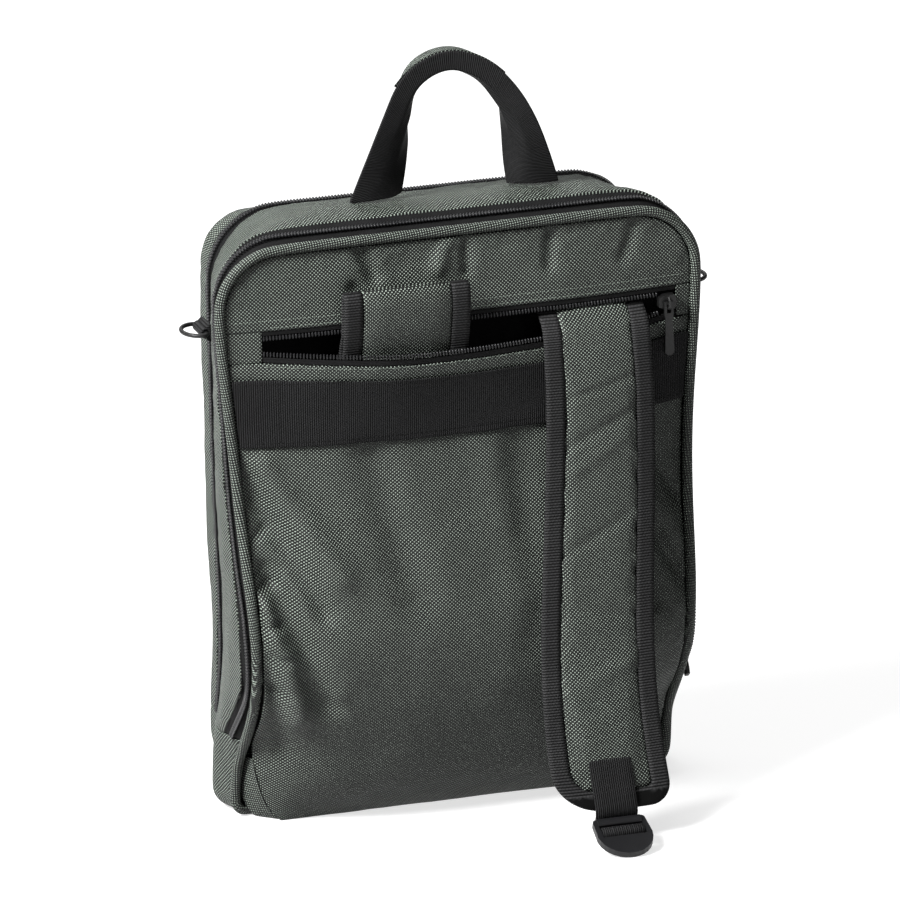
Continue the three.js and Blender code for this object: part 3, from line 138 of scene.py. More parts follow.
class Surface:
    """A material while it is made."""

    def __init__(self, name):
        self.material = bpy.data.materials.new(name)
        self.material.use_nodes = True
        self.tree = self.material.node_tree
        self.shader = self.tree.nodes["Principled BSDF"]

    def node(self, kind, settings, *values, **named):
        """A node's first output. values fill its inputs in order, and named ones by name."""
        made = self.tree.nodes.new("ShaderNode" + kind)
        for key, value in settings.items():
            setattr(made, key, value)
        for place, value in [*enumerate(values), *named.items()]:
            self.join(made.inputs[place], value)
        return Wire(self, made.outputs[0])

    def join(self, target, value):
        if isinstance(value, Wire):
            self.tree.links.new(value.socket, target)
        else:
            target.default_value = value

    def part(self, wire, output):
        return Wire(self, wire.socket.node.outputs[output])

    def mix(self, share, first, second, blend="MIX"):
        """first and second are colours or colour wires."""
        full = [v if isinstance(v, Wire) else (*v, 1) for v in (first, second)]
        made = self.tree.nodes.new("ShaderNodeMix")
        made.data_type = "RGBA"
        made.blend_type = blend
        self.join(made.inputs[0], share)
        self.join(made.inputs[6], full[0])
        self.join(made.inputs[7], full[1])
        return Wire(self, made.outputs[2])

    def cloth_run(self):
        """The two lengths along the piece's own cloth, in metres."""
        laid = self.node("UVMap", {"uv_map": "cloth"})
        split = self.node("SeparateXYZ", {}, laid)
        return split, self.part(split, 1)

    def place(self):
        coordinate = self.node("TexCoord", {})
        return self.part(coordinate, 3)

    def spots(self, size, detail=2.0, vector=None):
        """Soft noise of about this size, from 0 to 1."""
        return self.node(
            "TexNoise", {}, Vector=vector or self.place(), Scale=1 / size, Detail=detail
        )

    def finish(self, colour, roughness, height, depth, **fixed):
        """The finished material. height is the relief from 0 to 1, and depth the real height of it."""
        self.join(self.shader.inputs["Base Color"], colour if isinstance(colour, Wire) else (*colour, 1))
        self.join(self.shader.inputs["Roughness"], roughness)
        bump = self.node("Bump", {}, Strength=1.0, Distance=depth, Height=height)
        self.join(self.shader.inputs["Normal"], bump)
        for name, value in fixed.items():
            self.shader.inputs[name.replace("_", " ")].default_value = value
        return self.material


def woven_cloth(name, light, dark, turn=0.0):
    """Basket weave of light yarns that stand over gaps coloured near black as painted shade, each yarn a
    little lighter or darker.
    """
    cloth = Surface(name)
    across, along = cloth.cloth_run()
    if turn:
        across, along = (
            across * math.cos(turn) + along * math.sin(turn),
            along * math.cos(turn) - across * math.sin(turn),
        )
    wander = cloth.spots(9 * MM) - 0.5
    run = across + wander * (0.5 * MM)
    rise = along + wander * (0.4 * MM)
    weft = (run * (2 * math.pi / WEAVE_WIDTH)).math("SINE")
    warp = (rise * (2 * math.pi / WEAVE_HEIGHT)).math("SINE")
    wave = weft * warp
    column = (run * (2 / WEAVE_WIDTH)).math("FLOOR")
    row = (rise * (2 / WEAVE_HEIGHT)).math("FLOOR")
    cell = cloth.node("CombineXYZ", {}, column, row, 0.0)
    yarn = cloth.node("TexWhiteNoise", {"noise_dimensions": "2D"}, Vector=cell)
    crown = cloth.node("MapRange", {"interpolation_type": "SMOOTHSTEP"}, wave, 0.0, 0.85, 0.0, 1.0)
    faded = cloth.spots(45 * MM, 3.0)
    # The near-black dark colour in the gaps between yarn crowns is painted shade, not the cloth's own colour.
    colour = cloth.mix(crown * (0.74 + 0.16 * cloth.part(yarn, 0) + 0.3 * faded), dark, light)
    roughness = 0.66 - 0.2 * crown
    height = crown * (0.8 + 0.2 * cloth.part(yarn, 0))
    return cloth.finish(colour, roughness, height, 0.9 * MM, Specular_IOR_Level=0.35)


def ribbed_webbing(name, rib, across_it, light=(0.03, 0.03, 0.031), dark=(0.001, 0.001, 0.001)):
    """Black webbing with ribs over it, made of short yarns, with painted shade in the valleys between the
    ribs.
    """
    webbing = Surface(name)
    across, along = webbing.cloth_run()
    run, side = (across, along) if across_it else (along, across)
    ribs = (run * (math.pi / rib)).math("SINE").math("ABSOLUTE")
    offset = (run / rib).math("FLOOR") * 0.5
    yarns = ((side / (1.3 * rib) + offset) * math.pi).math("SINE").math("ABSOLUTE")
    crown = (ribs ** 1.2) * (0.7 + 0.3 * yarns)
    fluff = webbing.spots(0.7 * MM)
    worn = webbing.spots(28 * MM, 3.0)
    # The near-black dark colour between the rib crowns is painted shade in the valleys between ribs.
    colour = webbing.mix(crown * (0.6 + 0.5 * fluff) * (0.6 + 0.7 * worn), dark, light)
    return webbing.finish(colour, 0.75 - 0.15 * crown, crown, 0.5 * MM, Specular_IOR_Level=0.12)


def zip_tape(name):
    """Fine black tape with lines of knitting along it."""
    tape = Surface(name)
    across, along = tape.cloth_run()
    lines = (along * (2 * math.pi / (0.9 * MM))).math("SINE") * 0.5 + 0.5
    knots = (across * (2 * math.pi / (0.8 * MM))).math("SINE") * 0.5 + 0.5
    crown = lines * 0.6 + knots * 0.4
    colour = tape.mix(crown * tape.spots(12 * MM), (0.004, 0.004, 0.004), (0.022, 0.022, 0.023))
    return tape.finish(colour, 0.8, crown, 0.2 * MM, Specular_IOR_Level=0.12)


def moulded_plastic(name, colour, roughness=0.38, grain=0.5 * MM):
    """Black plastic with a fine grain, brighter where hands rub it."""
    plastic = Surface(name)
    fine = plastic.spots(grain, 4.0)
    rubbed = plastic.spots(9 * MM, 3.0)
    tone = plastic.mix(rubbed, [0.8 * c for c in colour], [1.3 * c for c in colour])
    shine = roughness + 0.2 * fine - 0.08 * rubbed
    return plastic.finish(tone, shine, fine, 0.04 * MM, Specular_IOR_Level=0.35)


def painted_metal(name):
    """Black painted metal, worn a little grey where it rubs."""
    metal = Surface(name)
    worn = metal.node("MapRange", {}, metal.spots(3 * MM, 5.0), 0.6, 0.75, 0.0, 1.0)
    colour = metal.mix(worn * 0.5, (0.005, 0.005, 0.005), (0.05, 0.05, 0.05))
    dents = metal.spots(1.2 * MM, 3.0)
    return metal.finish(colour, 0.4 + 0.15 * dents, dents, 0.03 * MM, Specular_IOR_Level=0.35)


def sewing_thread(name, colour):
    """Twisted thread: fine slanted strands."""
    thread = Surface(name)
    strands = thread.spots(0.5 * MM, 2.0)
    tone = thread.mix(strands, [0.6 * c for c in colour], colour)
    return thread.finish(tone, 0.65, strands, 0.08 * MM, Specular_IOR_Level=0.15)


GREEN_LIGHT = (0.42, 0.49, 0.42)
# Near black: painted shade in the gaps between the cloth's yarns.
GREEN_GAP_SHADE = (0.003, 0.0035, 0.003)
green_cloth = woven_cloth("green cloth", GREEN_LIGHT, GREEN_GAP_SHADE)
bias_cloth = woven_cloth("green cloth on the bias", GREEN_LIGHT, GREEN_GAP_SHADE, math.radians(40))
band_webbing = ribbed_webbing("wide webbing", BAND_RIB, True)
handle_webbing = ribbed_webbing("handle webbing", BAND_RIB, False)
binding_webbing = ribbed_webbing("binding", BINDING_RIB, False, (0.055, 0.055, 0.056))
tape_cloth = zip_tape("zip tape")
lining_cloth = zip_tape("lining")
coil_plastic = moulded_plastic("zip teeth", (0.012, 0.012, 0.013), 0.3)
buckle_plastic = moulded_plastic("buckle plastic", (0.008, 0.008, 0.009))
black_metal = painted_metal("black metal")
green_thread = sewing_thread("green thread", (0.2, 0.23, 0.2))
black_thread = sewing_thread("black thread", (0.007, 0.007, 0.007))


def only(piece):
    """Leaves one piece selected and active."""
    bpy.ops.object.select_all(action="DESELECT")
    piece.select_set(True)
    bpy.context.view_layer.objects.active = piece


def apply_modifier(piece, kind, **settings):
    modifier = piece.modifiers.new(kind.title(), kind)
    for key, value in settings.items():
        setattr(modifier, key, value)
    only(piece)
    bpy.ops.object.modifier_apply(modifier=modifier.name)


def points_of(piece):
    flat = np.empty(len(piece.data.vertices) * 3)
    piece.data.vertices.foreach_get("co", flat)
    return flat.reshape(-1, 3)


def normals_of(piece):
    return np.array([vertex.normal[:] for vertex in piece.data.vertices])


def move_points(piece, points):
    piece.data.vertices.foreach_set("co", np.asarray(points, float).ravel())
    piece.data.update()


def piece_from(name, shell):
    mesh = bpy.data.meshes.new(name)
    shell.to_mesh(mesh)
    shell.free()
    piece = bpy.data.objects.new(name, mesh)
    bpy.context.collection.objects.link(piece)
    return piece


def grown(name, node, levels, crease_over=38, crease=0.85):
    """A soft piece grown from its CAD node: the merged shell, held at its own edges, then subdivided."""
    shell = bmesh.new()
    shell.from_mesh(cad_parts[node].data)
    bmesh.ops.remove_doubles(shell, verts=shell.verts, dist=0.01 * MM)
    bmesh.ops.join_triangles(
        shell,
        faces=shell.faces,
        angle_face_threshold=math.radians(50),
        angle_shape_threshold=math.radians(80),
    )
    held = shell.edges.layers.float.new("crease_edge")
    for edge in shell.edges:
        if len(edge.link_faces) == 2 and edge.calc_face_angle() > math.radians(crease_over):
            edge[held] = crease
    piece = piece_from(name, shell)
    if levels:
        apply_modifier(piece, "SUBSURF", levels=levels, render_levels=levels)
    return piece


def lay_cloth(piece, chart):
    """Gives the piece its cloth coordinates, in metres, from a function of its points."""
    laid = np.asarray(chart(points_of(piece)), float)
    layer = piece.data.uv_layers.new(name="cloth")
    index = np.empty(len(piece.data.loops), int)
    piece.data.loops.foreach_get("vertex_index", index)
    layer.data.foreach_set("uv", laid[index].ravel())


def dress(piece, nodes, material, body="bag", smooth=True):
    """Gives the piece its material and its body, and hides the CAD nodes that it stands for."""
    piece.data.materials.clear()
    piece.data.materials.append(material)
    for face in piece.data.polygons:
        face.use_smooth = smooth
    if smooth:
        only(piece)
        bpy.ops.object.shade_smooth_by_angle(angle=math.radians(50))
    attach(piece, body)
    if nodes:
        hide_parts(*nodes)
    return piece


def crease_push(points, creases):
    """How far creases push points towards the wearer."""
    push = np.zeros(len(points))
    for fold in creases:
        start, end = np.array(fold["start"]) * MM, np.array(fold["end"]) * MM
        way = end - start
        long = np.linalg.norm(way)
        gap = points[:, [0, 2]] - start
        run = gap @ way / long**2
        off = (gap[:, 0] * way[1] - gap[:, 1] * way[0]) / long
        past = np.maximum(0, np.maximum(-run, run - 1)) * long
        wide = fold["wide"] * MM
        push += fold["out"] * MM * np.exp(-((off / wide) ** 2) - (past / (1.2 * wide)) ** 2)
    return push


def softness(points, size, seed):
    """Smooth noise from -1 to 1 at points, with bumps of about this size."""
    shift = Vector((seed * 7.3, seed * 3.1, seed * 5.7))
    return np.array([noise.noise(Vector(p) / size + shift) for p in points])


def point_tree(points):
    """A tree that finds the nearest of the points."""
    tree = KDTree(len(points))
    for number, spot in enumerate(points):
        tree.insert(spot, number)
    tree.balance()
    return tree


def edge_curve(node, steps=6):
    """Extra points along a CAD ring, from its own edges, for distances to it."""
    shell = bmesh.new()
    shell.from_mesh(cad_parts[node].data)
    bmesh.ops.remove_doubles(shell, verts=shell.verts, dist=0.01 * MM)
    found = [
        edge.verts[0].co.lerp(edge.verts[1].co, i / steps)[:] for edge in shell.edges for i in range(steps)
    ]
    shell.free()
    return np.array(found)


def lower_edge(node):
    """The lowest points of a CAD strip from left to right."""
    corners = points_of(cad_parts[node])
    across = np.unique(np.round(corners[:, 0], 5))
    columns = [corners[abs(corners[:, 0] - x) < 0.1 * MM] for x in across]
    return np.array([min(column.tolist(), key=lambda p: p[2]) for column in columns])


LIP_EDGE = lower_edge("pocket_zip_lower_tape")
piping_tree = point_tree(edge_curve("piping"))


def from_piping(points):
    return np.array([piping_tree.find(p)[2] for p in points])


# The folds' heights in the table are times this, and puckers at the welt are this high.
FOLD_STRENGTH = 3.3
PUCKER = 1.6 * MM
LIP_ROLL = 2.4 * MM
LIP_HEIGHT = 10 * MM


def worn_push(points):
    """How far the worn side's cloth stands out beyond its CAD form: creases, puckers and unevenness."""
    z = points[:, 2]
    webbed = np.clip(np.minimum(z - BAND_LOW + 8 * MM, BAND_HIGH + 40 * MM - z) / (10 * MM), 0, 1)
    loose = 1 - 0.75 * webbed
    near = np.exp(-from_piping(points) / (9 * MM))
    waves = softness(points * [0.6, 0.6, 1.0], 9 * MM, 2) + 0.6 * softness(points, 5 * MM, 3)
    uneven = softness(points, 34 * MM, 5) * 1.1 * MM + softness(points, 15 * MM, 6) * 0.45 * MM
    edge = np.clip(from_piping(points) / (6 * MM), 0, 1)
    folds = FOLD_STRENGTH * crease_push(points, CREASES)
    return (folds + lip_roll(points) + uneven + waves * PUCKER * near) * loose * edge


def lip_roll(points):
    """The round roll of cloth between the pocket's lower tape and the webbing band."""
    edge = np.interp(points[:, 0], LIP_EDGE[:, 0], LIP_EDGE[:, 2])
    down = (edge - points[:, 2]) / LIP_HEIGHT
    return LIP_ROLL * np.sqrt(np.clip(1 - (2 * down - 1) ** 2, 0, 1))


def soften_worn(piece):
    points = points_of(piece)
    points[:, 1] -= worn_push(points)
    move_points(piece, points)


def flat_chart(points):
    """Cloth that faces the wearer: across by x, and up by the length of the panel's own middle line."""
    return np.column_stack([points[:, 0], panel_run(points)])


def middle_line(node, x, tolerance):
    """The length along a CAD node's outer middle line against height, as two columns."""
    corners = points_of(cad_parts[node])
    near = corners[abs(corners[:, 0] - x) < tolerance]
    heights = np.unique(np.round(near[:, 2], 5))
    outer = np.array([near[abs(near[:, 2] - z) < 0.5 * MM][:, 1].min() for z in heights])
    lengths = np.concatenate([[0], np.cumsum(np.hypot(np.diff(heights), np.diff(outer)))])
    return heights, lengths + heights[0]


PANEL_HEIGHTS, PANEL_LENGTHS = middle_line("lower_panel", 0, 1 * MM)


def panel_run(points):
    z = points[:, 2]
    beyond = np.maximum(0, z - PANEL_HEIGHTS[-1])
    return np.interp(z, PANEL_HEIGHTS, PANEL_LENGTHS) + beyond


BAG_HALF = 148 * MM
BAG_TOP = 376 * MM
BAG_CORNER = 44 * MM
BAG_FOOT = 14 * MM


def round_bag(points):
    """The length round the bag's outline from the middle of its top, to the right above nothing."""
    x, z = abs(points[:, 0]), points[:, 2]
    over_x, over_z = x - (BAG_HALF - BAG_CORNER), z - (BAG_TOP - BAG_CORNER)
    under_x, under_z = x - (BAG_HALF - BAG_FOOT), BAG_FOOT - z
    top = x
    corner = BAG_HALF - BAG_CORNER + BAG_CORNER * np.arctan2(np.maximum(over_x, 0), np.maximum(over_z, 1e-6))
    side_start = BAG_HALF - BAG_CORNER + BAG_CORNER * math.pi / 2
    side = side_start - over_z
    foot_start = side_start + BAG_TOP - BAG_CORNER - BAG_FOOT
    foot = foot_start + BAG_FOOT * np.arctan2(np.maximum(under_z, 0), np.maximum(under_x, 1e-6))
    bottom = foot_start + BAG_FOOT * math.pi / 2 - under_x
    length = np.where(over_z > 0, np.where(over_x < 0, top, corner), side)
    length = np.where(under_z > 0, np.where(under_x < 0, bottom, foot), length)
    return np.sign(points[:, 0]) * length


def gusset_chart(points):
    return np.column_stack([points[:, 1], round_bag(points)])


# The worn side
lower_panel = grown("lower_back_panel", "lower_panel", 3)
soften_worn(lower_panel)
lay_cloth(lower_panel, flat_chart)
dress(lower_panel, ["lower_panel"], green_cloth)

upper_panel = grown("upper_back_panel", "upper_panel", 3)
soften_worn(upper_panel)
lay_cloth(upper_panel, flat_chart)
dress(upper_panel, ["upper_panel"], green_cloth)

band = grown("wide_webbing_band", "panel_webbing", 3)
soften_worn(band)
lay_cloth(band, flat_chart)
dress(band, ["panel_webbing"], band_webbing)


def toe_chart(points):
    """Cloth that turns the corner from the worn side to the bag's sides."""
    return np.column_stack([(abs(points[:, 0]) + points[:, 1]) / math.sqrt(2), points[:, 2]])


toe = grown("toe_cloth", "toe_panel", 2)
lay_cloth(toe, toe_chart)
dress(toe, ["toe_panel"], bias_cloth)

for node in ("left_mouth_patch", "right_mouth_patch"):
    patch = grown(node + "_cloth", node, 3)
    lay_cloth(patch, flat_chart)
    dress(patch, [node], green_cloth)

lining = grown("pocket_lining_cloth", "pocket_lining", 2)
lay_cloth(lining, flat_chart)
dress(lining, ["pocket_lining"], lining_cloth)

front = grown("outer_panel_cloth", "front_panel", 3)
front_points = points_of(front)
broad = softness(front_points, 45 * MM, 8) * 1.6 * MM
narrow = softness(front_points, 18 * MM, 9) * 0.5 * MM
front_points[:, 1] += broad + narrow
move_points(front, front_points)
lay_cloth(front, lambda points: points[:, [0, 2]])
dress(front, ["front_panel"], green_cloth)


# The gussets and the base
def soften_gusset(piece, depth, seed):
    """Presses soft dents and zip-side puckers into a gusset, along its own outward direction."""
    points, normals = points_of(piece), normals_of(piece)
    run = round_bag(points)
    laid = np.column_stack([run, points[:, 1], np.zeros(len(points))])
    dents = softness(laid * [0.5, 1.0, 1.0], 16 * MM, seed)
    dents += 0.4 * softness(laid * [1.0, 0.4, 1.0], 6 * MM, seed + 1)
    low, high = points[:, 1].min(), points[:, 1].max()
    middle = np.clip(np.minimum(points[:, 1] - low, high - points[:, 1]) / (8 * MM), 0, 1)
    outward = points * [1, 0, 1] - [0, 0, 190 * MM]
    outward /= np.linalg.norm(outward, axis=1)[:, None]
    move_points(piece, points + outward * (dents * depth * middle)[:, None])


for name, node, depth in (
    ("middle_gusset_cloth", "middle_gusset", 1.5 * MM),
    ("outer_gusset_cloth", "front_gusset", 0.7 * MM),
):
    gusset = grown(name, node, 3)
    soften_gusset(gusset, depth, 11)
    lay_cloth(gusset, gusset_chart)
    dress(gusset, [node], green_cloth)

base = grown("base_cloth", "base_panel", 2)
lay_cloth(base, gusset_chart)
dress(base, ["base_panel"], green_cloth)

PIPING_RADIUS = 3.4 * MM
piping = grown("welt_piping", "piping", 2, crease_over=170)


def ring_line(node, rows_gap):
    """The middle points of a CAD band's rows, in order round the bag from the left foot over the top."""
    corners = np.unique(np.round(points_of(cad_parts[node]), 6), axis=0)
    turn = np.arctan2(corners[:, 0], corners[:, 2] - 190 * MM)
    order = np.argsort(turn)
    corners, turn = corners[order], turn[order]
    cuts = np.where(np.diff(turn) > rows_gap)[0] + 1
    return [row.mean(axis=0) for row in np.split(corners, cuts)]


def inner_line(node, radius, reach):
    """A CAD piping's middle line: its corners drawn inwards, grouped, and put nearest after nearest."""
    ring = grown(node + "_middle", node, 0)
    inner = points_of(ring) - normals_of(ring) * radius
    bpy.data.objects.remove(ring)
    groups = []
    for spot in inner:
        near = [group for group in groups if np.linalg.norm(np.mean(group, axis=0) - spot) < reach]
        if near:
            near[0].append(spot)
        else:
            groups.append([spot])
    left = [np.mean(group, axis=0) for group in groups if len(group) > 2]
    line = [min(left, key=lambda p: p[2] + 0.5 * p[0])]
    while True:
        left = [p for p in left if p is not line[-1]]
        if not left:
            break
        line.append(min(left, key=lambda p: np.linalg.norm(p - line[-1])))
    return line


def smooth_line(rows, pitch):
    """Evenly spaced points on a smooth line through the rows."""
    rows = np.array(rows)
    padded = np.vstack([2 * rows[0] - rows[1], rows, 2 * rows[-1] - rows[-2]])
    found = []
    for i in range(1, len(padded) - 2):
        a, b, c, d = padded[i - 1 : i + 3]
        for t in np.linspace(0, 1, 24, endpoint=False):
            square = 2 * a - 5 * b + 4 * c - d
            cube = 3 * b - a - 3 * c + d
            found.append(0.5 * (2 * b + (c - a) * t + square * t**2 + cube * t**3))
    found = np.vstack([found, rows[-1:]])
    lengths = np.concatenate([[0], np.cumsum(np.linalg.norm(np.diff(found, axis=0), axis=1))])
    places = np.arange(pitch / 2, lengths[-1], pitch)
    return np.column_stack([np.interp(places, lengths, found[:, i]) for i in range(3)])


def welt_chart(points):
    """Along the piping by its length round the bag, and round it by its turn."""
    near = np.array([piping_axis_tree.find(p)[1] for p in points])
    gap = points - PIPING_AXIS[near]
    way = np.gradient(PIPING_AXIS, axis=0)[near]
    way /= np.linalg.norm(way, axis=1)[:, None]
    out = PIPING_AXIS[near] * [1, 0, 1] - [0, 0, 190 * MM]
    out -= way * (out * way).sum(axis=1)[:, None]
    out /= np.linalg.norm(out, axis=1)[:, None]
    side = np.cross(way, out)
    turn = np.arctan2((gap * out).sum(axis=1), (gap * side).sum(axis=1))
    return np.column_stack([turn * PIPING_RADIUS, near * 1.0 * MM + (gap * way).sum(axis=1)])


PIPING_AXIS = smooth_line(inner_line("piping", PIPING_RADIUS, 2.6 * MM), 1 * MM)
piping_axis_tree = point_tree(PIPING_AXIS)
welt = points_of(piping) + normals_of(piping) * 0.38 * MM
welt[:, 2] = np.maximum(welt[:, 2], 0.1 * MM)
move_points(piping, welt)
lay_cloth(piping, welt_chart)
dress(piping, ["piping"], bias_cloth)

# The long zips' tapes
for node in ("main_zip_tape", "front_zip_tape"):
    tape = grown(node + "_cloth", node, 2)
    lay_cloth(tape, gusset_chart)
    dress(tape, [node], tape_cloth)


# Teeth, which are made once and then repeated
def model_of(piece):
    """A small model's points and faces, taken from a piece that is then removed."""
    points = points_of(piece)
    faces = [tuple(face.vertices) for face in piece.data.polygons]
    mesh = piece.data
    bpy.data.objects.remove(piece)
    bpy.data.meshes.remove(mesh)
    return points, faces


def repeated(name, model, places):
    """One mesh with the model at every place: a middle point and three axes."""
    points, faces = model
    every = [middle + points @ np.array(axes) for middle, axes in places]
    count = len(points)
    mesh = bpy.data.meshes.new(name)
    joined = [tuple(v + i * count for v in face) for i in range(len(every)) for face in faces]
    mesh.from_pydata(np.vstack(every).tolist(), [], joined)
    piece = bpy.data.objects.new(name, mesh)
    bpy.context.collection.objects.link(piece)
    return piece


def rounded_bar(length, width, height):
    """A small bar with rounded edges, lying along X."""
    bpy.ops.object.select_all(action="DESELECT")
    bpy.ops.mesh.primitive_cube_add(size=1)
    bar = bpy.context.active_object
    bpy.ops.object.mode_set(mode="EDIT")
    bpy.ops.transform.resize(value=(length, width, height))
    bpy.ops.mesh.bevel(offset=0.42 * min(width, height), segments=2, affect="EDGES")
    bpy.ops.object.mode_set(mode="OBJECT")
    return bar


def frames_along(line, outward_of):
    """A place and its axes (across, along, outward) at each point of a line."""
    ways = np.gradient(line, axis=0)
    made = []
    for middle, way in zip(line, ways):
        way = way / np.linalg.norm(way)
        out = outward_of(middle)
        out = out - way * (out @ way)
        out /= np.linalg.norm(out)
        made.append((middle, (np.cross(way, out), way, out)))
    return made


def from_bag_middle(middle):
    """Outwards from the bag, square to Y."""
    x, z = middle[0], middle[2]
    inner_x = np.clip(x, -(BAG_HALF - BAG_CORNER), BAG_HALF - BAG_CORNER)
    inner_z = min(z, BAG_TOP - BAG_CORNER)
    return np.array([x - inner_x, 0, z - inner_z]) + 1e-9


coil_loop = model_of(rounded_bar(2.9 * MM, 1.25 * MM, 1.5 * MM))
for node in ("main_zip_coil", "front_zip_coil"):
    line = smooth_line(ring_line(node, math.radians(1.4)), TOOTH_PITCH)
    places = []
    for middle, (across, way, out) in frames_along(line, from_bag_middle):
        for side in (-1, 1):
            slant = way * 0.22 * side
            spot = middle + across * side * 1.15 * MM + way * side * 0.5 * MM + out * 0.15 * MM
            places.append((spot, (across + slant, way, out)))
    teeth = repeated(node + "_teeth", coil_loop, places)
    dress(teeth, [node], coil_plastic)

# The pocket's zip
for node in ("pocket_zip_upper_tape", "pocket_zip_lower_tape"):
    tape = grown(node + "_cloth", node, 3)
    if "lower" in node:
        soften_worn(tape)
    lay_cloth(tape, flat_chart)
    dress(tape, [node], tape_cloth)


def row_line(node):
    """The middle points of a CAD strip's rows, from left to right."""
    corners = np.unique(np.round(points_of(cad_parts[node]), 6), axis=0)
    corners = corners[np.argsort(corners[:, 0])]
    cuts = np.where(np.diff(corners[:, 0]) > 1 * MM)[0] + 1
    return [row.mean(axis=0) for row in np.split(corners, cuts)]


open_tooth = model_of(rounded_bar(1.25 * MM, 3.2 * MM, 2.1 * MM))
for node, side in (("pocket_zip_upper_teeth", 1), ("pocket_zip_lower_teeth", -1)):
    line = smooth_line(row_line(node), TOOTH_PITCH)
    if side < 0:
        line[:, 1] -= worn_push(line)
    places = []
    for middle, (across, way, out) in frames_along(line, lambda middle: np.array([0, -1.0, 0])):
        places.append((middle, (way, across, out)))
    teeth = repeated(node + "_row", open_tooth, places)
    dress(teeth, [node], coil_plastic)


# The straps
def strap_run(node):
    corners = points_of(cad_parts[node])
    heights = np.linspace(corners[:, 2].min(), corners[:, 2].max(), 40)
    middle = np.interp(
        heights, *np.array([(z, corners[abs(corners[:, 2] - z) < 12 * MM][:, 1].mean()) for z in heights]).T
    )
    lengths = np.concatenate([[0], np.cumsum(np.hypot(np.diff(heights), np.diff(middle)))])
    return heights, lengths


STRAP_HEIGHTS, STRAP_LENGTHS = strap_run("strap_pad")


def strap_chart(points):
    return np.column_stack([points[:, 0], np.interp(points[:, 2], STRAP_HEIGHTS, STRAP_LENGTHS)])


def swell(piece, cell, pressure, cap):
    """Fills a pad with air as cloth does, and stops each point at the cap."""
    apply_modifier(piece, "REMESH", mode="VOXEL", voxel_size=cell)
    start = points_of(piece)
    cloth = piece.modifiers.new("Cloth", "CLOTH")
    cloth.settings.use_pressure = True
    cloth.settings.uniform_pressure_force = pressure
    cloth.settings.effector_weights.gravity = 0
    cloth.settings.tension_stiffness = 25
    cloth.settings.bending_stiffness = 1.5
    scene = bpy.context.scene
    for step in range(1, 13):
        scene.frame_set(step)
    only(piece)
    bpy.ops.object.modifier_apply(modifier=cloth.name)
    moved = points_of(piece) - start
    far = np.linalg.norm(moved, axis=1)
    share = np.minimum(1, cap / np.maximum(far, 1e-9))
    move_points(piece, start + moved * share[:, None])


# The pad's edge goes this far under its binding.
PAD_TUCK = 2.4 * MM
pad = grown("shoulder_strap_pad", "strap_pad", 1)
swell(pad, 2.4 * MM, 4.0, 1.4 * MM)
apply_modifier(pad, "SUBSURF", levels=1, render_levels=1)
pad_points, pad_normals = points_of(pad), normals_of(pad)
facing = np.clip(-pad_normals[:, 1] + 0.2 * pad_normals[:, 2], 0, 1)
push = crease_push(pad_points, STRAP_CREASES) + softness(pad_points, 16 * MM, 21) * 0.5 * MM
sideways = 1 - abs(pad_normals[:, 1])
move_points(pad, pad_points + pad_normals * (push * facing + PAD_TUCK * sideways)[:, None])
lay_cloth(pad, strap_chart)
dress(pad, ["strap_pad"], green_cloth)

binding = grown("shoulder_strap_binding", "strap_binding", 2, crease=0.6)
lay_cloth(binding, strap_chart)
dress(binding, ["strap_binding"], binding_webbing)

tab = grown("strap_end_webbing", "strap_tab", 2)
lay_cloth(tab, strap_chart)
dress(tab, ["strap_tab"], band_webbing)



def stowed_chart(points):
    return points[:, [0, 2]]


stowed = grown("stowed_strap_pad", "stowed_pad", 2, crease=0.5)
stowed_points = points_of(stowed)
stowed_points[:, 1] -= softness(stowed_points, 14 * MM, 31) * 0.5 * MM
move_points(stowed, stowed_points)
lay_cloth(stowed, stowed_chart)
dress(stowed, ["stowed_pad"], green_cloth)
for node in ("stowed_binding_left", "stowed_binding_right"):
    edge = grown(node + "_webbing", node, 2, crease=0.6)
    lay_cloth(edge, stowed_chart)
    dress(edge, [node], binding_webbing)

# The handle
HANDLE_X = 9 * MM
HANDLE_FOOT = 382 * MM
HANDLE_RADIUS = 72 * MM


def handle_chart(points):
    turn = np.arctan2(points[:, 0] - HANDLE_X, points[:, 2] - HANDLE_FOOT - 12 * MM)
    return np.column_stack([points[:, 1], turn * HANDLE_RADIUS])


handle = grown("carrying_handle", "handle_webbing", 3, crease_over=24, crease=0.85)
lay_cloth(handle, handle_chart)
dress(handle, ["handle_webbing"], handle_webbing)
facing_cloth = grown("handle_facing_cloth", "handle_facing", 3, crease=0.6)
lay_cloth(facing_cloth, handle_chart)
dress(facing_cloth, ["handle_facing"], green_cloth)

# The rings and their tabs
for side in ("left", "right"):
    ring_tab = grown(side + "_ring_loop", side + "_ring_tab", 1, crease=0.8)
    lay_cloth(ring_tab, lambda points: points[:, [1, 2]])
    dress(ring_tab, [side + "_ring_tab"], handle_webbing)
    wire = grown(side + "_wire_ring", side + "_ring", 2, crease_over=170)
    dress(wire, [side + "_ring"], black_metal, side + "_ring")

# Hard pieces that stay CAD nodes, with softened edges
for node, material, bevel in (
    ("buckle", buckle_plastic, 0.6 * MM),
    ("pocket_zip_slider", black_metal, 0.4 * MM),
    ("pocket_zip_pull", black_metal, 0.25 * MM),
    ("main_zip_slider", black_metal, 0.3 * MM),
    ("front_zip_slider", black_metal, 0.3 * MM),
):
    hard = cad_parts[node]
    weld = hard.modifiers.new("Weld", "WELD")
    weld.merge_threshold = 0.01 * MM
    rounded = hard.modifiers.new("Bevel", "BEVEL")
    rounded.width = bevel
    rounded.segments = 2
    rounded.limit_method = "ANGLE"
    rounded.angle_limit = math.radians(35)
    hard.data.materials.clear()
    hard.data.materials.append(material)


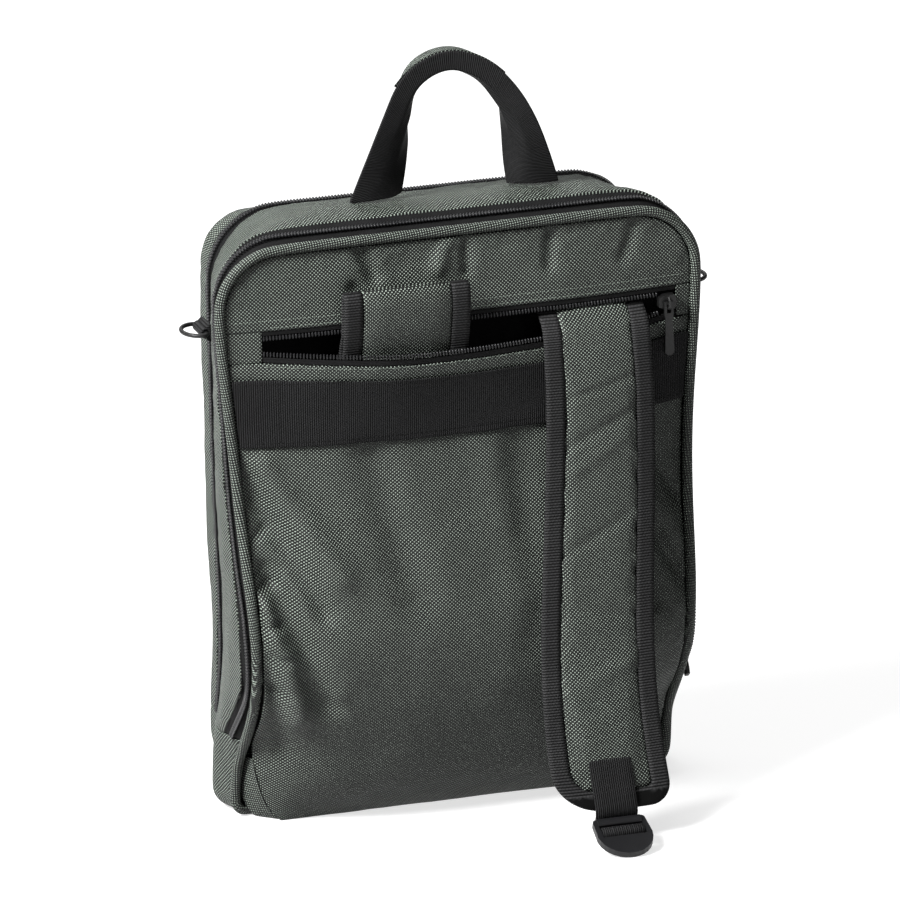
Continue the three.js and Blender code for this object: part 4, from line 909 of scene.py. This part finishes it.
# Stitches
def tree_of(piece):
    return BVHTree.FromObject(piece, bpy.context.evaluated_depsgraph_get())


stitch = model_of(rounded_bar(0.62 * STITCH_PITCH, THREAD, 0.6 * THREAD))


def stitch_row(name, pieces, route, material):
    """A row of stitches on the pieces, along a route of (x, z) points in millimetres seen by the wearer."""
    trees = [tree_of(piece) for piece in pieces]
    flat = smooth_line([(x * MM, 0, z * MM) for x, z in route], STITCH_PITCH)
    spots, outs = [], []
    for x, _, z in flat:
        hits = [tree.ray_cast(Vector((x, -0.3, z)), Vector((0, 1, 0)), 0.4) for tree in trees]
        hits = [hit for hit in hits if hit[0] is not None]
        if hits:
            nearest = min(hits, key=lambda hit: hit[3])
            spots.append(np.array(nearest[0]))
            outs.append(np.array(nearest[1]))
    spots = np.array(spots)
    ways = np.gradient(spots, axis=0)
    places = []
    for spot, way, out in zip(spots, ways, outs):
        way = way / np.linalg.norm(way)
        out = out - way * (out @ way)
        out /= np.linalg.norm(out)
        places.append((spot + out * 0.1 * THREAD, (way, np.cross(out, way), out)))
    return dress(repeated(name, stitch, places), [], material)


LIP_STITCHES = [(-124, 298), (-90, 296), (-60, 294), (0, 292.5), (60, 292.5), (100, 293.5), (130, 297.5)]
for name, piece, route in (
    ("mouth_upper_stitches", upper_panel, [(-142, 326), (0, 326), (142, 326)]),
    ("mouth_upper_edge_stitches", upper_panel, [(-120, 321.6), (0, 321.6), (134, 321.6)]),
    ("lip_stitches", lower_panel, LIP_STITCHES),
):
    stitch_row(name, [piece], route, green_thread)
for name, route in (
    ("left_band_stitches", [(-117, 250), (-117, 270), (-117, 288)]),
    ("right_band_stitches", [(120, 250), (120, 270), (120, 288)]),
    ("band_upper_stitches", [(-138, 287.5), (0, 287.5), (138, 287.5)]),
    ("band_lower_stitches", [(-138, 250.5), (0, 250.5), (138, 250.5)]),
):
    stitch_row(name, [band], route, black_thread)

# The floor, the light and the camera
bpy.ops.object.select_all(action="DESELECT")
bpy.ops.mesh.primitive_plane_add(size=30)
floor = bpy.context.active_object
floor.name = "studio_floor"
paper = Surface("pale paper")
glow = {"Emission_Color": (1, 1, 1, 1), "Emission_Strength": 0.7}
floor.data.materials.append(paper.finish((0.5, 0.5, 0.5), 0.9, paper.spots(2 * MM), 0.02 * MM, **glow))
floor.visible_diffuse = False


def area_light(name, azimuth, elevation, distance, size, power):
    """A soft square lamp aimed at the bag."""
    a, e = math.radians(azimuth), math.radians(elevation)
    away = Vector((math.sin(a) * math.cos(e), -math.cos(a) * math.cos(e), math.sin(e)))
    lamp = bpy.data.lights.new(name, "AREA")
    lamp.size = size
    lamp.energy = power
    holder = bpy.data.objects.new(name, lamp)
    bpy.context.collection.objects.link(holder)
    holder.location = Vector((0, 0, 0.2)) + away * distance
    holder.rotation_euler = away.to_track_quat("Z", "Y").to_euler()


area_light("key_light", -68, 42, 2.2, 0.8, 118)
area_light("top_light", -30, 74, 2.2, 1.2, 4)
area_light("fill_light", 5, 25, 2.6, 1.4, 4)
area_light("backdrop_light", 180, 50, 5, 4, 150)
world = bpy.context.scene.world or bpy.data.worlds.new("studio")
bpy.context.scene.world = world
world.use_nodes = True
world.node_tree.nodes["Background"].inputs[0].default_value = (1, 1, 1, 1)
world.node_tree.nodes["Background"].inputs[1].default_value = 0.06
bpy.context.scene.view_settings.view_transform = "Standard"

azimuth, elevation = math.radians(CAMERA_AZIMUTH), math.radians(CAMERA_ELEVATION)
back = Vector(
    (math.sin(azimuth) * math.cos(elevation), -math.cos(azimuth) * math.cos(elevation), math.sin(elevation))
)
lens = bpy.data.cameras.new("camera")
lens.lens = CAMERA_LENS
lens.sensor_width = 36
lens.clip_end = 50
camera = bpy.data.objects.new("camera", lens)
bpy.context.collection.objects.link(camera)
camera.location = CAMERA_TARGET + back * CAMERA_DISTANCE
camera.rotation_mode = "QUATERNION"
roll = Matrix.Rotation(math.radians(-CAMERA_ROLL), 4, back).to_quaternion()
camera.rotation_quaternion = roll @ back.to_track_quat("Z", "Y")
bpy.context.scene.camera = camera
